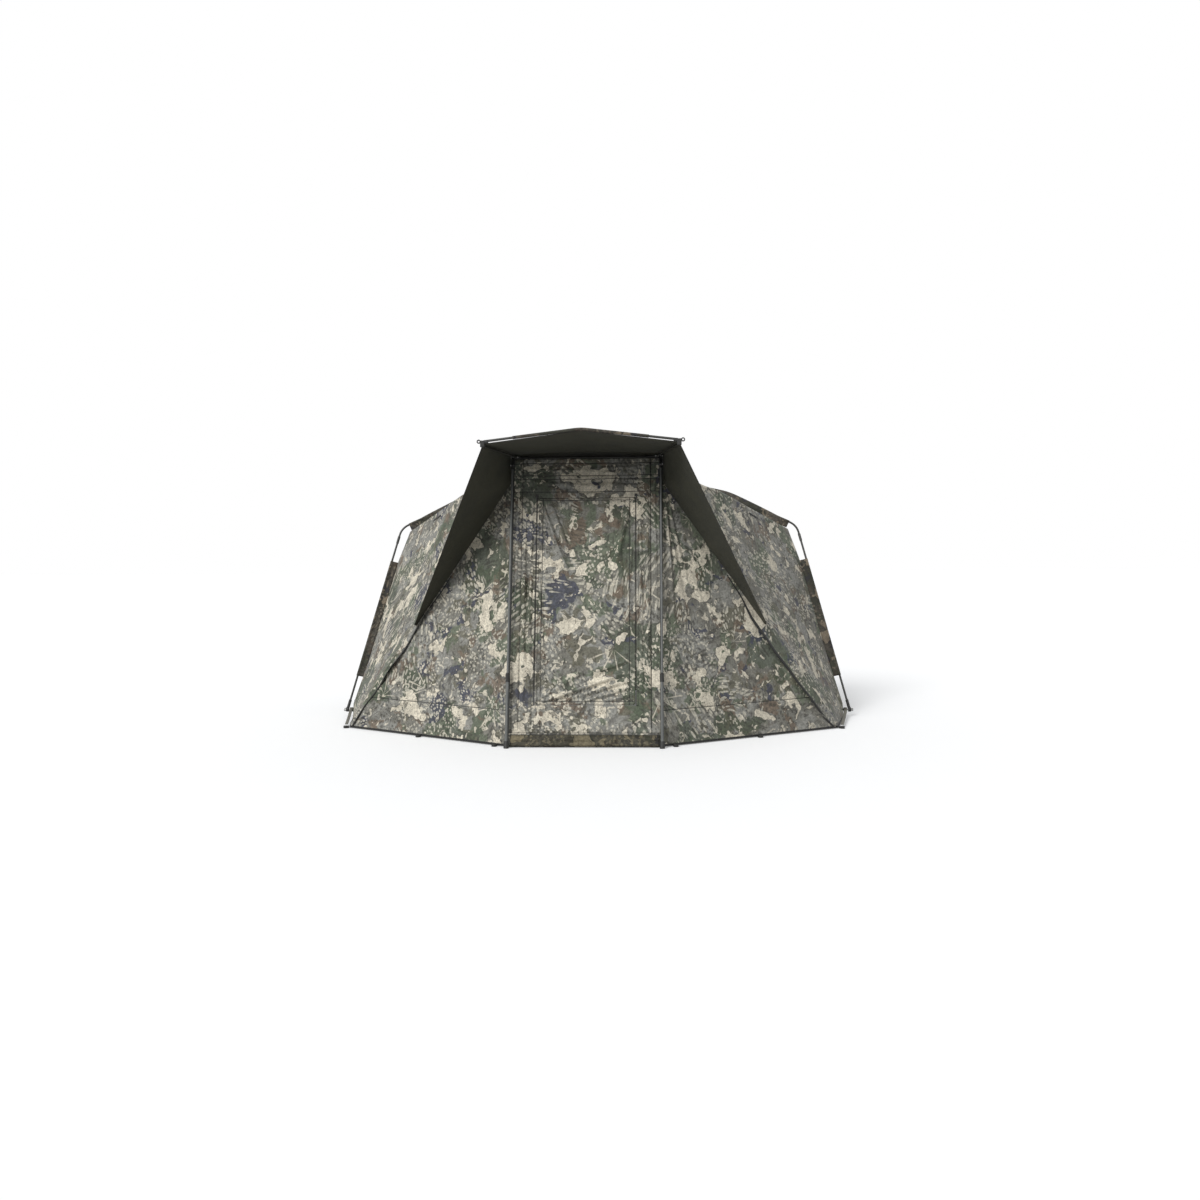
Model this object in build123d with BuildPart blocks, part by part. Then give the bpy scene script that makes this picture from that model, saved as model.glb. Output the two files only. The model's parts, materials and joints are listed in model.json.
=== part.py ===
from build123d import *
import os
from math import atan, cos, degrees, hypot, radians, sin, tan

# A peaked angler's shelter with a pram-hood frame: millimetres, +Z up, the front towards -Y.
# The origin is on the ground, under the middle of the whole shelter.
# Distances called "back" run towards +Y from the line through the two storm pole feet.

# ---- cloth ----
cloth = 1.5  # modelled thickness of every fabric panel
seam_gap = 0.6  # between two panels that are sewn together
rib_seam = 1.8  # between two panels that meet at a rib, one on each side of it
cloth_out = 10.0  # the cabin's cloth stands this far outside the pole line at the roof corners

# ---- front wall: leans back, and the storm poles stand along its two edges ----
wall_foot_back = 31.0
wall_lean = 14.35  # degrees from upright
wall_half = 387.0  # the pole line, where the centre wall meets the side walls
wall_top_z = 1459.0
roof_corner_z = 1485.0
seam_start_z = 1330.0  # where the diagonal seam leaves the pole line
corner_x = 1355.0
corner_back = 670.0
peak_tip_share = 0.584  # how far down the diagonal seam the peak's side wall ends

# ---- door ----
door_half = 249.0
door_bottom_z = 204.0
door_top_z = 1251.0
hinge_gap = 2.0  # below the door, so that it can drop forwards
zip_room = 16.0  # width of the slot between door and jamb
zip_x = door_half + zip_room / 2
zip_run_on = 34.0  # the slot and the outer chain go on past the door's ends
chain_width = 2.6
chain_gap = 3.2
chain_depth = 2.6
tape_width = 14.0
tape = 0.8
slider_length = 16.0
slider_wall = 2.8
slider_play = 0.5

# ---- pivot axle at each side, on the ground block ----
axle_back = 1140.0
axle_z = 40.0
axle_d = 10.0
running_play = 0.05
front_eye_x = 1370.0
rear_eye_x = 1403.0
centre_eye_x = 1490.0
front_eye_more = 12.5  # the front rib leans in most, so its eye runs on this much further inwards
eye_d = 26.0
eye_width = 15.0
socket_d = 17.0
socket_reach = 60.0
socket_start = 11.0
leg_start = 20.0

# ---- rib tubes ----
rib_d = 12.0
rib_bore = 9.0
frame_d = 16.0
frame_bore = 13.0
frame_socket_d = 21.0
ferrule_d = 16.0
ferrule_length = 44.0

# ---- centre rib, outside the fabric, held in sleeves ----
centre_lean = 16.9
centre_bend = (1221.0, 1140.0)  # across, and out from the axle in the rib's own plane
centre_shoulder = (804.0, 1337.0)
centre_haunch = (400.0, 1432.0)
centre_crown = (0.0, 1462.0)
bend_radius = 95.0
arch_radius = 420.0
ferrule_below_bend = 78.0  # room for the bend to start above the ferrule
ferrule_out = centre_bend[1] - ferrule_below_bend
sleeve_depth = 40.0
sleeve_d = 17.0
sleeve_bore = 12.4
lower_sleeve = (205.0, 925.0)
top_sleeve_start_x = 1176.0

# ---- rear rib, inside the fabric ----
rear_lean = 50.0
rear_bend = (925.0, 1175.0)
rear_haunch = (500.0, 1268.0)
rear_crown = (0.0, 1298.0)
rear_ferrule_below_bend = 115.0
rear_ferrule_out = rear_bend[1] - rear_ferrule_below_bend
rear_cover = 14.0  # the cloth lies this far outside the tube's centre

# ---- front rib, inside the fabric ----
bar_back = 432.0
bar_z = 1466.0
casting_x = wall_half - 23.0

# ---- ground line of the cloth ----
block_hem_x = 1449.0
block_notch = 30.0  # the cloth stands clear of the axle by this much each way
hem_side = (1392.0, 1430.0)
hem_quarter = (1285.0, 1735.0)
hem_rear = (960.0, 2225.0)
hem_back = (500.0, 2385.0)
hem_middle_back = 2420.0

# ---- peak ----
peak_reach = 100.0  # the peak bar lies this far ahead of the pole feet
knuckle_out = 87.0  # the knuckles stand this far outside the pole line
knuckle_x = wall_half + knuckle_out
knuckle_z = 1500.0
peak_rise = 60.0
apex_radius = 250.0
peak_bar_d = 12.0
arm_d = 10.0
knuckle_size = 22.0
guy_ring_d = 20.0
guy_hole_d = 9.0
guy_ring_width = 5.0
peak_sleeve_half = 335.0
peak_pin_back = 392.0
peak_pin_z = 1470.0
peak_eye_x = wall_half - 19.0

# ---- storm poles ----
pole_stand_off = 30.0
pole_top_z = 1425.0
inner_pole_d = 12.5
inner_pole_bore = 10.0
outer_pole_d = 16.0
pole_play = 0.1
outer_pole_top = 350.0  # along the pole, from the wall's foot
inner_pole_end = 230.0
collar_d = 22.0
collar_length = 42.0
pole_foot_d = 26.0
pole_foot_height = 34.0

# ---- peg eyelets ----
eyelet_d = 26.0
eyelet_bore = 9.0
eyelet_height = 12.0
eyelet_out = 18.0
hem_gap = 0.3

# ---- webbing strap from each axle to the front corner ----
strap_width = 18.0
strap_clear = 7.0  # from the cloth to the strap's loop

# ---- worked out from the sizes above ----
strap_x = block_hem_x + strap_clear + strap_width / 2
front_reach = peak_reach + knuckle_size / 2
back_reach = hem_middle_back + eyelet_out + eyelet_d / 2
pole_line_y = (front_reach - back_reach) / 2
lean_sin = sin(radians(wall_lean))
lean_cos = cos(radians(wall_lean))

os.makedirs("parts", exist_ok=True)


def spot(x, back, z):
    """A point given by its distance behind the pole feet."""
    return Vector(x, back + pole_line_y, z)


def on_rib(lean, place):
    """A point in the plane of a rib that leans back from the axle."""
    x, out = place
    return spot(x, axle_back + out * sin(radians(lean)), axle_z + out * cos(radians(lean)))


def wall_back(z):
    """How far back the front wall's face lies at a height."""
    return wall_foot_back + z * tan(radians(wall_lean))


def flipped(point):
    return Vector(-point.X, point.Y, point.Z)


def between(a, b, share):
    return a + (b - a) * share


def save(piece, name):
    """Label a finished piece and write it to its own file."""
    piece.label = name
    export_step(piece, f"parts/{name}.step")


def save_pair(piece, name):
    """Write a right-hand piece and its mirror image, each to its own file."""
    with BuildPart() as twin:
        mirror(piece, about=Plane.YZ)
    save(piece, f"{name}_right")
    save(twin.part, f"{name}_left")


def save_both(piece, name):
    """Write a right-hand piece and its mirror image to one file, as separate solids."""
    with BuildPart() as both:
        add(piece)
        mirror(piece, about=Plane.YZ)
    save(both.part, name)


def grid_normals(rows):
    """The outward direction at each point of a grid of points."""
    total = [[Vector(0, 0, 0) for _ in row] for row in rows]
    for i in range(len(rows) - 1):
        for j in range(len(rows[0]) - 1):
            corners = [(i, j), (i + 1, j), (i + 1, j + 1), (i, j + 1)]
            a, b, c, d = (rows[m][n] for m, n in corners)
            normal = (c - a).cross(d - b)
            if normal.length > 0:
                for m, n in corners:
                    total[m][n] += normal.normalized()
    return [[normal.normalized() for normal in row] for row in total]


def triangle(a, b, c):
    return Face(Wire.make_polygon([a, b, c], close=True))


def sheet(rows, thickness=cloth):
    """A closed panel of cloth: its outer face runs through the points, and it stays above the ground."""
    inner = []
    for row, normals in zip(rows, grid_normals(rows)):
        sunk = [point - normal * thickness for point, normal in zip(row, normals)]
        inner.append([Vector(p.X, p.Y, max(p.Z, 0)) for p in sunk])
    faces = []
    last_row = len(rows) - 1
    last = len(rows[0]) - 1
    for i in range(last_row):
        for j in range(last):
            a, b, c, d = rows[i][j], rows[i + 1][j], rows[i + 1][j + 1], rows[i][j + 1]
            faces += [triangle(a, b, c), triangle(a, c, d)]
            a, b, c, d = inner[i][j], inner[i + 1][j], inner[i + 1][j + 1], inner[i][j + 1]
            faces += [triangle(a, c, b), triangle(a, d, c)]
    border = [(0, j) for j in range(last)] + [(i, last) for i in range(last_row)]
    border += [(last_row, j) for j in range(last, 0, -1)] + [(i, 0) for i in range(last_row, 0, -1)]
    for (i, j), (m, n) in zip(border, border[1:] + border[:1]):
        faces += [triangle(rows[i][j], rows[m][n], inner[m][n])]
        faces += [triangle(rows[i][j], inner[m][n], inner[i][j])]
    body = Solid(Shell(faces))
    return body


def cloth_panel(rows, name):
    with BuildPart() as panel:
        add(sheet(rows))
    save(panel.part, name)


def cloth_pair(rows, name):
    with BuildPart() as panel:
        add(sheet(rows))
    save_pair(panel.part, name)


def along(start, end):
    """A plane at start that faces end."""
    run = end - start
    x_dir = (0, 1, 0) if abs(run.X) > abs(run.Y) + abs(run.Z) else (1, 0, 0)
    return Plane(origin=start, x_dir=x_dir, z_dir=run)


def straight_tube(start, end, outer, bore):
    with BuildPart() as tube:
        with BuildSketch(along(start, end)):
            Circle(outer / 2)
            Circle(bore / 2, mode=Mode.SUBTRACT)
        extrude(amount=(end - start).length)
    return tube.part


def bent_tube(points, radii, outer, bore):
    with BuildPart() as tube:
        with BuildLine() as path:
            FilletPolyline(*points, radius=radii)
        with BuildSketch(along(points[0], points[1])):
            Circle(outer / 2)
            Circle(bore / 2, mode=Mode.SUBTRACT)
        sweep()
    return tube.part


# ---------------------------------------------------------------- points that panels share
wall_plane = Plane(origin=spot(0, wall_foot_back, 0), x_dir=(1, 0, 0), z_dir=(0, -lean_cos, lean_sin))
wall_corner = spot(wall_half, wall_back(0), 0)
seam_top = spot(wall_half, wall_back(seam_start_z), seam_start_z)
roof_corner = spot(wall_half + cloth_out, wall_back(roof_corner_z), roof_corner_z)
ground_corner = spot(corner_x, corner_back, 0)
side_normal = (ground_corner - wall_corner).cross(seam_top - wall_corner).normalized()
peak_tip = between(seam_top, ground_corner, peak_tip_share)
cloth_seam_top = seam_top + Vector(cloth_out, 0, 0)


def up_wall(z):
    """Distance up the front wall's face to a height."""
    return z / lean_cos


def across(point):
    """The upright plane through a point that looks along the shelter's width."""
    return Plane(origin=point, x_dir=(0, 1, 0), z_dir=(1, 0, 0))


def across_at(x, back, z):
    """The same plane, at a point given by its distance behind the pole feet."""
    return across(spot(x, back, z))


def on_wall(x, up, proud):
    """A point on the front wall: across, up the slope, and out from its face."""
    return wall_plane.from_local_coords(Vector(x, up, proud))


# ---------------------------------------------------------------- pivot block and axle
side_play = 0.3
cheek = 6.0
inner_cheek_x = front_eye_x + eye_width / 2 + 2 * side_play
outer_cheek_x = rear_eye_x + eye_width / 2 + 2 * side_play
floor_margin = 8.0
block_inner_x = front_eye_x - eye_width / 2
block_outer_x = outer_cheek_x + cheek + floor_margin
block_floor = 8.0
block_length = 120.0
block_head = 16.0  # cheek above the axle's centre
cap_d = 18.0
cap_length = 12.0
axle_inner_x = front_eye_x - eye_width / 2 - front_eye_more
axle_outer_x = centre_eye_x + eye_width / 2

with BuildPart() as block:
    with BuildSketch(Plane.XY):
        with Locations(spot((block_inner_x + block_outer_x) / 2, axle_back, 0)):
            RectangleRounded(block_outer_x - block_inner_x, block_length, floor_margin)
    extrude(amount=block_floor)
    for cheek_x in (inner_cheek_x, outer_cheek_x):
        with BuildSketch(across_at(cheek_x, axle_back, 0)):
            with BuildLine():
                Polyline((-block_length / 3, 0), (block_length / 3, 0),
                         (block_head, axle_z), (-block_head, axle_z), close=True)
            make_face()
            with Locations((0, axle_z)):
                Circle(block_head)
        extrude(amount=cheek)
    with BuildSketch(across_at(axle_inner_x - 1, axle_back, axle_z)):
        Circle(axle_d / 2 + running_play)
    extrude(amount=axle_outer_x, mode=Mode.SUBTRACT)
    peg_hole_reach = block_length / 2 - 12
    with Locations(*[spot((block_inner_x + block_outer_x) / 2, axle_back + s * peg_hole_reach, block_floor)
                     for s in (-1, 1)]):
        Hole(eyelet_bore / 2, depth=block_floor)
save_both(block.part, "pivot_blocks")

with BuildPart() as axle:
    for start, length, diameter in (
        (axle_inner_x - 0.5, axle_outer_x - axle_inner_x + 1, axle_d),
        (axle_inner_x - 0.5 - cap_length / 2, cap_length / 2, cap_d),
        (axle_outer_x + 0.5, cap_length, cap_d),
    ):
        with BuildSketch(across_at(start, axle_back, axle_z)):
            Circle(diameter / 2)
        extrude(amount=length)
save_both(axle.part, "pivot_axles")


bush_spans = (
    (inner_cheek_x + cheek + side_play, rear_eye_x - eye_width / 2 - side_play),
    (outer_cheek_x + cheek + side_play, strap_x - strap_width / 2 - side_play),
)
with BuildPart() as spacers:
    for start_x, end_x in bush_spans:
        with BuildSketch(across_at(start_x, axle_back, axle_z)):
            Circle(axle_d / 2 + 1.5)
            Circle(axle_d / 2 + running_play, mode=Mode.SUBTRACT)
        extrude(amount=end_x - start_x)
save_both(spacers.part, "axle_spacers")


def rib_foot(eye_x, lean, aim, tube_d, out_d, inner_more=0.0):
    """An eye on the axle, with the socket that a rib's leg stands in."""
    start = on_rib(lean, (eye_x, 0))
    end = on_rib(lean, aim)
    leg = (end - start).normalized()
    with BuildPart() as foot:
        eye_start = start - Vector(eye_width / 2 + inner_more, 0, 0)
        with BuildSketch(across(eye_start)):
            Circle(eye_d / 2)
        extrude(amount=eye_width + inner_more)
        with BuildSketch(along(start + leg * socket_start, end)):
            Circle(out_d / 2)
        extrude(amount=socket_reach - socket_start)
        with BuildSketch(along(start + leg * leg_start, end)):
            Circle(tube_d / 2 + running_play)
        extrude(amount=socket_reach, mode=Mode.SUBTRACT)
        with BuildSketch(across(start - Vector(eye_d, 0, 0))):
            Circle(axle_d / 2 + running_play)
        extrude(amount=2 * eye_d, mode=Mode.SUBTRACT)
    return foot.part


def on_leg(eye_x, lean, aim, out):
    """The point of a leg's centre line at a distance out from the axle, in the rib's plane."""
    return on_rib(lean, (eye_x + (aim[0] - eye_x) * out / aim[1], out))


def ferrule(eye_x, lean, aim, out, tube_d):
    """The hinge sleeve over the joint between a leg and the bow above it."""
    start = on_leg(eye_x, lean, aim, out - ferrule_length / 2)
    end = on_leg(eye_x, lean, aim, out + ferrule_length / 2)
    return straight_tube(start, end, ferrule_d + (tube_d - rib_d), tube_d + 2 * running_play)


# ---------------------------------------------------------------- centre rib
save_both(rib_foot(centre_eye_x, centre_lean, centre_bend, rib_d, socket_d), "centre_rib_feet")
centre_leg_start = on_leg(centre_eye_x, centre_lean, centre_bend, leg_start)
centre_leg_end = on_leg(centre_eye_x, centre_lean, centre_bend, ferrule_out)
save_both(straight_tube(centre_leg_start, centre_leg_end, rib_d, rib_bore), "centre_rib_legs")
save_both(ferrule(centre_eye_x, centre_lean, centre_bend, ferrule_out, rib_d), "centre_rib_ferrules")
bow_start = on_leg(centre_eye_x, centre_lean, centre_bend, ferrule_out + seam_gap)
half_bow = [bow_start] + [on_rib(centre_lean, p) for p in (centre_bend, centre_shoulder, centre_haunch)]
centre_top = on_rib(centre_lean, centre_crown)
bow_points = half_bow + [centre_top] + [flipped(p) for p in reversed(half_bow)]
bow_radii = [bend_radius] + [arch_radius] * 5 + [bend_radius]
save(bent_tube(bow_points, bow_radii, rib_d, rib_bore), "centre_rib_bow")


def inset(points, depth):
    """A line of points in a rib's plane, moved in towards the cabin by a depth."""
    moved = []
    for k, point in enumerate(points):
        before = points[max(k - 1, 0)]
        after = points[min(k + 1, len(points) - 1)]
        run_x, run_out = after[0] - before[0], after[1] - before[1]
        run = hypot(run_x, run_out)
        moved.append((point[0] - run_out / run * depth, point[1] + run_x / run * depth))
    return moved


rib_face = (0, -cos(radians(centre_lean)), sin(radians(centre_lean)))
rib_plane = Plane(origin=on_rib(centre_lean, (0, 0)), x_dir=(1, 0, 0), z_dir=rib_face)


def rib_flap(points):
    """The flat web of a sleeve, between the rib and the cabin's cloth."""
    outer = inset(points, rib_d / 2 + 0.4)
    deep = inset(points, sleeve_depth - seam_gap)
    with BuildPart() as flap:
        with BuildSketch(rib_plane.offset(-cloth / 2)):
            with BuildLine():
                Polyline(*outer, *reversed(deep), close=True)
            make_face()
        extrude(amount=cloth)
    return flap.part


def leg_place(out):
    return (centre_eye_x + (centre_bend[0] - centre_eye_x) * out / centre_bend[1], out)


with BuildPart() as lower_cover:
    ends = [leg_place(out) for out in lower_sleeve]
    with BuildSketch(along(on_rib(centre_lean, ends[0]), on_rib(centre_lean, ends[1]))):
        Circle(sleeve_d / 2)
    extrude(amount=(on_rib(centre_lean, ends[1]) - on_rib(centre_lean, ends[0])).length)
    add(rib_flap(list(reversed(ends))))
    with BuildSketch(along(on_rib(centre_lean, ends[0]), on_rib(centre_lean, ends[1])).offset(-5)):
        Circle(sleeve_bore / 2)
    extrude(amount=lower_sleeve[1], mode=Mode.SUBTRACT)
save_both(lower_cover.part, "rib_sleeves_lower")

arm_share = (centre_bend[0] - top_sleeve_start_x) / (centre_bend[0] - centre_shoulder[0])
top_sleeve_start = (top_sleeve_start_x, centre_bend[1] + (centre_shoulder[1] - centre_bend[1]) * arm_share)
half_cover = [top_sleeve_start, centre_shoulder, centre_haunch]
cover_line = half_cover + [centre_crown] + [(-x, out) for x, out in reversed(half_cover)]
cover_points = [on_rib(centre_lean, p) for p in cover_line]
top_flap = rib_flap(cover_line)
with BuildPart() as top_cover:
    with BuildLine():
        FilletPolyline(*cover_points, radius=[arch_radius] * 5)
    with BuildSketch(along(cover_points[0], cover_points[1])):
        Circle(sleeve_d / 2)
    sweep()
    add(top_flap)
    with BuildLine():
        FilletPolyline(*cover_points, radius=[arch_radius] * 5)
    with BuildSketch(along(cover_points[0], cover_points[1])):
        Circle(sleeve_bore / 2)
    sweep(mode=Mode.SUBTRACT)
save(top_cover.part, "rib_sleeve_top")

# ---------------------------------------------------------------- rear rib
save_both(rib_foot(rear_eye_x, rear_lean, rear_bend, rib_d, socket_d), "rear_rib_feet")
rear_leg_start = on_leg(rear_eye_x, rear_lean, rear_bend, leg_start)
rear_leg_end = on_leg(rear_eye_x, rear_lean, rear_bend, rear_ferrule_out)
save_both(straight_tube(rear_leg_start, rear_leg_end, rib_d, rib_bore), "rear_rib_legs")
save_both(ferrule(rear_eye_x, rear_lean, rear_bend, rear_ferrule_out, rib_d), "rear_rib_ferrules")
rear_bow_start = on_leg(rear_eye_x, rear_lean, rear_bend, rear_ferrule_out + seam_gap)
half_rear = [rear_bow_start] + [on_rib(rear_lean, p) for p in (rear_bend, rear_haunch)]
rear_bow_points = half_rear + [on_rib(rear_lean, rear_crown)] + [flipped(p) for p in reversed(half_rear)]
rear_radii = [bend_radius] + [arch_radius] * 3 + [bend_radius]
save(bent_tube(rear_bow_points, rear_radii, rib_d, rib_bore), "rear_rib_bow")

# ---------------------------------------------------------------- front rib and its corner castings
front_top = spot(casting_x, bar_back, bar_z)
front_lean = -degrees(atan((axle_back - bar_back) / (bar_z - axle_z)))
front_out = hypot(axle_back - bar_back, bar_z - axle_z)
front_aim = (casting_x, front_out)
leg_seat = 14.0  # the front tubes stop this short of the casting's centre
front_foot = rib_foot(front_eye_x, front_lean, front_aim, frame_d, frame_socket_d, front_eye_more)
save_both(front_foot, "front_rib_feet")
front_leg_start = on_leg(front_eye_x, front_lean, front_aim, leg_start)
front_leg_end = on_leg(front_eye_x, front_lean, front_aim, front_out - leg_seat)
save_both(straight_tube(front_leg_start, front_leg_end, frame_d, frame_bore), "front_rib_legs")
bar_end = spot(casting_x - leg_seat, bar_back, bar_z)
save(straight_tube(flipped(bar_end), bar_end, frame_d, frame_bore), "front_rib_bar")

casting_d = frame_d + 7
ear = 4.0
ear_play = 0.5
pole_eye = 5.0
pole_up = (pole_top_z - pole_stand_off * lean_sin) / lean_cos
pole_pin = on_wall(wall_half, pole_up, pole_stand_off)
pole_pin_back = pole_pin.Y - pole_line_y
pin_d = 6.0
ear_head = 11.0
sill_clear = 3.0  # the ears pass this far over the wall's top edge
with BuildPart() as casting:
    with BuildSketch(along(front_top, on_leg(front_eye_x, front_lean, front_aim, 0))):
        Circle(casting_d / 2)
    extrude(amount=socket_reach)
    with BuildSketch(Plane(origin=front_top, x_dir=(0, 1, 0), z_dir=(-1, 0, 0))):
        Circle(casting_d / 2)
    extrude(amount=socket_reach)
    with Locations(front_top):
        Sphere(casting_d / 2)
    for ear_x in (wall_half - pole_eye / 2 - ear_play - ear, wall_half + pole_eye / 2 + ear_play):
        with BuildSketch(across_at(ear_x, 0, 0)):
            with BuildLine():
                Polyline(
                    (bar_back - 4, bar_z + 10),
                    (peak_pin_back - 8, peak_pin_z + 10),
                    (pole_pin_back - ear_head, pole_top_z),
                    (pole_pin_back + ear_head, pole_top_z),
                    (wall_back(wall_top_z) - 10, wall_top_z + sill_clear),
                    (bar_back - 4, wall_top_z + sill_clear),
                    close=True,
                )
            make_face()
            with Locations((pole_pin_back, pole_top_z)):
                Circle(ear_head)
        extrude(amount=ear)
    with BuildSketch(across_at(casting_x - 10, 0, 0)):
        with Locations((bar_back - 11, bar_z + 3)):
            Rectangle(14, 14)
    extrude(amount=wall_half + pole_eye / 2 + ear_play + ear - casting_x + 10)
    for pin_back, pin_z in ((pole_pin_back, pole_top_z), (peak_pin_back, peak_pin_z)):
        with BuildSketch(across_at(casting_x - 20, pin_back, pin_z)):
            Circle(pin_d / 2 + running_play)
        extrude(amount=60, mode=Mode.SUBTRACT)
    leg_top = on_leg(front_eye_x, front_lean, front_aim, front_out - leg_seat)
    with BuildSketch(along(leg_top, front_leg_start)):
        Circle(frame_d / 2 + running_play)
    extrude(amount=2 * socket_reach, mode=Mode.SUBTRACT)
    with BuildSketch(Plane(origin=bar_end, x_dir=(0, 1, 0), z_dir=(-1, 0, 0))):
        Circle(frame_d / 2 + running_play)
    extrude(amount=2 * socket_reach, mode=Mode.SUBTRACT)
save_both(casting.part, "front_rib_corners")

ears_out_x = wall_half + pole_eye / 2 + ear_play + ear
with BuildPart() as corner_pins:
    pin_starts = (
        (wall_half - pole_eye / 2 - ear_play - ear - 1, pole_pin_back, pole_top_z),
        (peak_eye_x - 9, peak_pin_back, peak_pin_z),
    )
    for start_x, pin_back, pin_z in pin_starts:
        with BuildSketch(across_at(start_x, pin_back, pin_z)):
            Circle(pin_d / 2)
        extrude(amount=ears_out_x + 2 - start_x)
        with BuildSketch(across_at(ears_out_x + 0.3, pin_back, pin_z)):
            Circle(pin_d / 2 + 2)
        extrude(amount=3)
save_both(corner_pins.part, "corner_pins")

# ---------------------------------------------------------------- peak
peak_front = -peak_reach
knuckle = spot(knuckle_x, peak_front, knuckle_z)
bar_seat = knuckle + Vector(-6, 0, 5)
peak_apex = spot(0, peak_front, knuckle_z + peak_rise)
arm_start = spot(peak_eye_x, peak_pin_back, peak_pin_z)
arm_end = spot(knuckle_x - 3, peak_front - 2, knuckle_z - 16)
save(bent_tube([flipped(bar_seat), peak_apex, bar_seat], [apex_radius], peak_bar_d, rib_bore), "peak_bar")

arm_eye_d = 17.0
arm_eye_width = 8.0
with BuildPart() as arm:
    with BuildSketch(across(arm_start - Vector(arm_eye_width / 2, 0, 0))):
        Circle(arm_eye_d / 2)
    extrude(amount=arm_eye_width)
    with BuildSketch(along(arm_start, arm_end)):
        Circle(arm_d / 2)
    extrude(amount=(arm_end - arm_start).length)
    with BuildSketch(across(arm_start - Vector(20, 0, 0))):
        Circle(pin_d / 2 + running_play)
    extrude(amount=40, mode=Mode.SUBTRACT)
save_both(arm.part, "peak_arms")

with BuildPart() as knuckle_piece:
    with Locations(knuckle - Vector(0, 0, 7)):
        Box(knuckle_size, knuckle_size, knuckle_size + 10)
    fillet(knuckle_piece.edges(), 4)
    with BuildSketch(along(knuckle, peak_apex).offset(knuckle_size / 4)):
        Circle(peak_bar_d / 2 + 3)
    extrude(amount=knuckle_size)
    ring_centre = knuckle + Vector(knuckle_size / 2 + guy_ring_d / 2 - 3, 0, 4)
    ring_front = ring_centre - Vector(0, guy_ring_width / 2, 0)
    with BuildSketch(Plane(origin=ring_front, x_dir=(1, 0, 0), z_dir=(0, 1, 0))):
        Circle(guy_ring_d / 2)
    extrude(amount=guy_ring_width)
    hole_start = ring_centre - Vector(0, guy_ring_d, 0)
    with BuildSketch(Plane(origin=hole_start, x_dir=(1, 0, 0), z_dir=(0, 1, 0))):
        Circle(guy_hole_d / 2)
    extrude(amount=2 * guy_ring_d, mode=Mode.SUBTRACT)
    with BuildSketch(along(bar_seat, peak_apex)):
        Circle(peak_bar_d / 2 + running_play)
    extrude(amount=2 * knuckle_size, mode=Mode.SUBTRACT)
    with BuildSketch(along(arm_end, arm_start)):
        Circle(arm_d / 2 + running_play)
    extrude(amount=2 * knuckle_size, mode=Mode.SUBTRACT)
save_both(knuckle_piece.part, "peak_knuckles")

roof_back = wall_back(roof_corner_z)
roof_rise = 15.0
columns = (1.0, 0.72, 0.42, 0.0)


def roof_row(half, back, corner_z, rise, power):
    """Points across the roof from right to left: a power of 1 is two slopes, and 2 an arch."""
    right = [spot(half * c, back, corner_z + rise * (1 - c ** power)) for c in columns]
    return right + [flipped(p) for p in reversed(right[:-1])]


peak_sleeve_d = peak_bar_d + 5
edge_x = knuckle_x - knuckle_size / 2 - 2
edge_z = knuckle_z - 3
edge_back = peak_front + peak_sleeve_d / 2 + 3.5
peak_edge = roof_row(edge_x, edge_back, edge_z, peak_rise - 3, 1)
peak_root = roof_row(wall_half + cloth_out, roof_back - seam_gap, roof_corner_z, roof_rise, 2)
cloth_panel([peak_edge, peak_root], "peak_roof")

bar_slope = (peak_apex - bar_seat).normalized()
sleeve_share = (knuckle_x - 6 - peak_sleeve_half) / (knuckle_x - 6)
bar_sleeve_end = between(bar_seat, peak_apex, sleeve_share)
peak_sleeve_line = [flipped(bar_sleeve_end), peak_apex, bar_sleeve_end]
save(bent_tube(peak_sleeve_line, [apex_radius], peak_sleeve_d, peak_bar_d + 0.4), "peak_bar_sleeve")

wall_stand = seam_gap + 0.2
wall_knuckle = spot(knuckle_x + 6, peak_front + knuckle_size, knuckle_z - 16)
seam_line = [roof_corner + Vector(4, -wall_stand, -14), cloth_seam_top + side_normal * wall_stand]
for seam_share in (0.33, 0.66, 0.97):
    seam_line.append(between(cloth_seam_top, peak_tip, seam_share) + side_normal * wall_stand)
lip = peak_tip + side_normal * (wall_stand + 12)
edge_line = [between(wall_knuckle, lip, share) for share in (0.0, 0.2, 0.46, 0.73, 0.97)]
cloth_pair([seam_line, edge_line], "peak_side")

# ---------------------------------------------------------------- front wall
opening_half = door_half + zip_room
slot_low = up_wall(door_bottom_z) - zip_run_on
slot_high = up_wall(door_top_z) + zip_run_on
wall_top = up_wall(wall_top_z)
centre_half = opening_half - seam_gap
jamb_edge = wall_half - 2 * seam_gap
jamb_mid = (opening_half + jamb_edge) / 2

with BuildPart() as jamb:
    with BuildSketch(wall_plane):
        with Locations((jamb_mid, wall_top / 2)):
            Rectangle(jamb_edge - opening_half, wall_top)
    extrude(amount=-cloth)
    split(bisect_by=Plane.XY, keep=Keep.TOP)
save_pair(jamb.part, "front_jamb")

with BuildPart() as header:
    with BuildSketch(wall_plane):
        with BuildLine():
            Polyline(
                (-door_half, up_wall(door_top_z) + seam_gap), (door_half, up_wall(door_top_z) + seam_gap),
                (door_half, slot_high), (centre_half, slot_high), (centre_half, wall_top),
                (-centre_half, wall_top), (-centre_half, slot_high), (-door_half, slot_high),
                close=True,
            )
        make_face()
    extrude(amount=-cloth)
save(header.part, "front_header")

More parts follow.
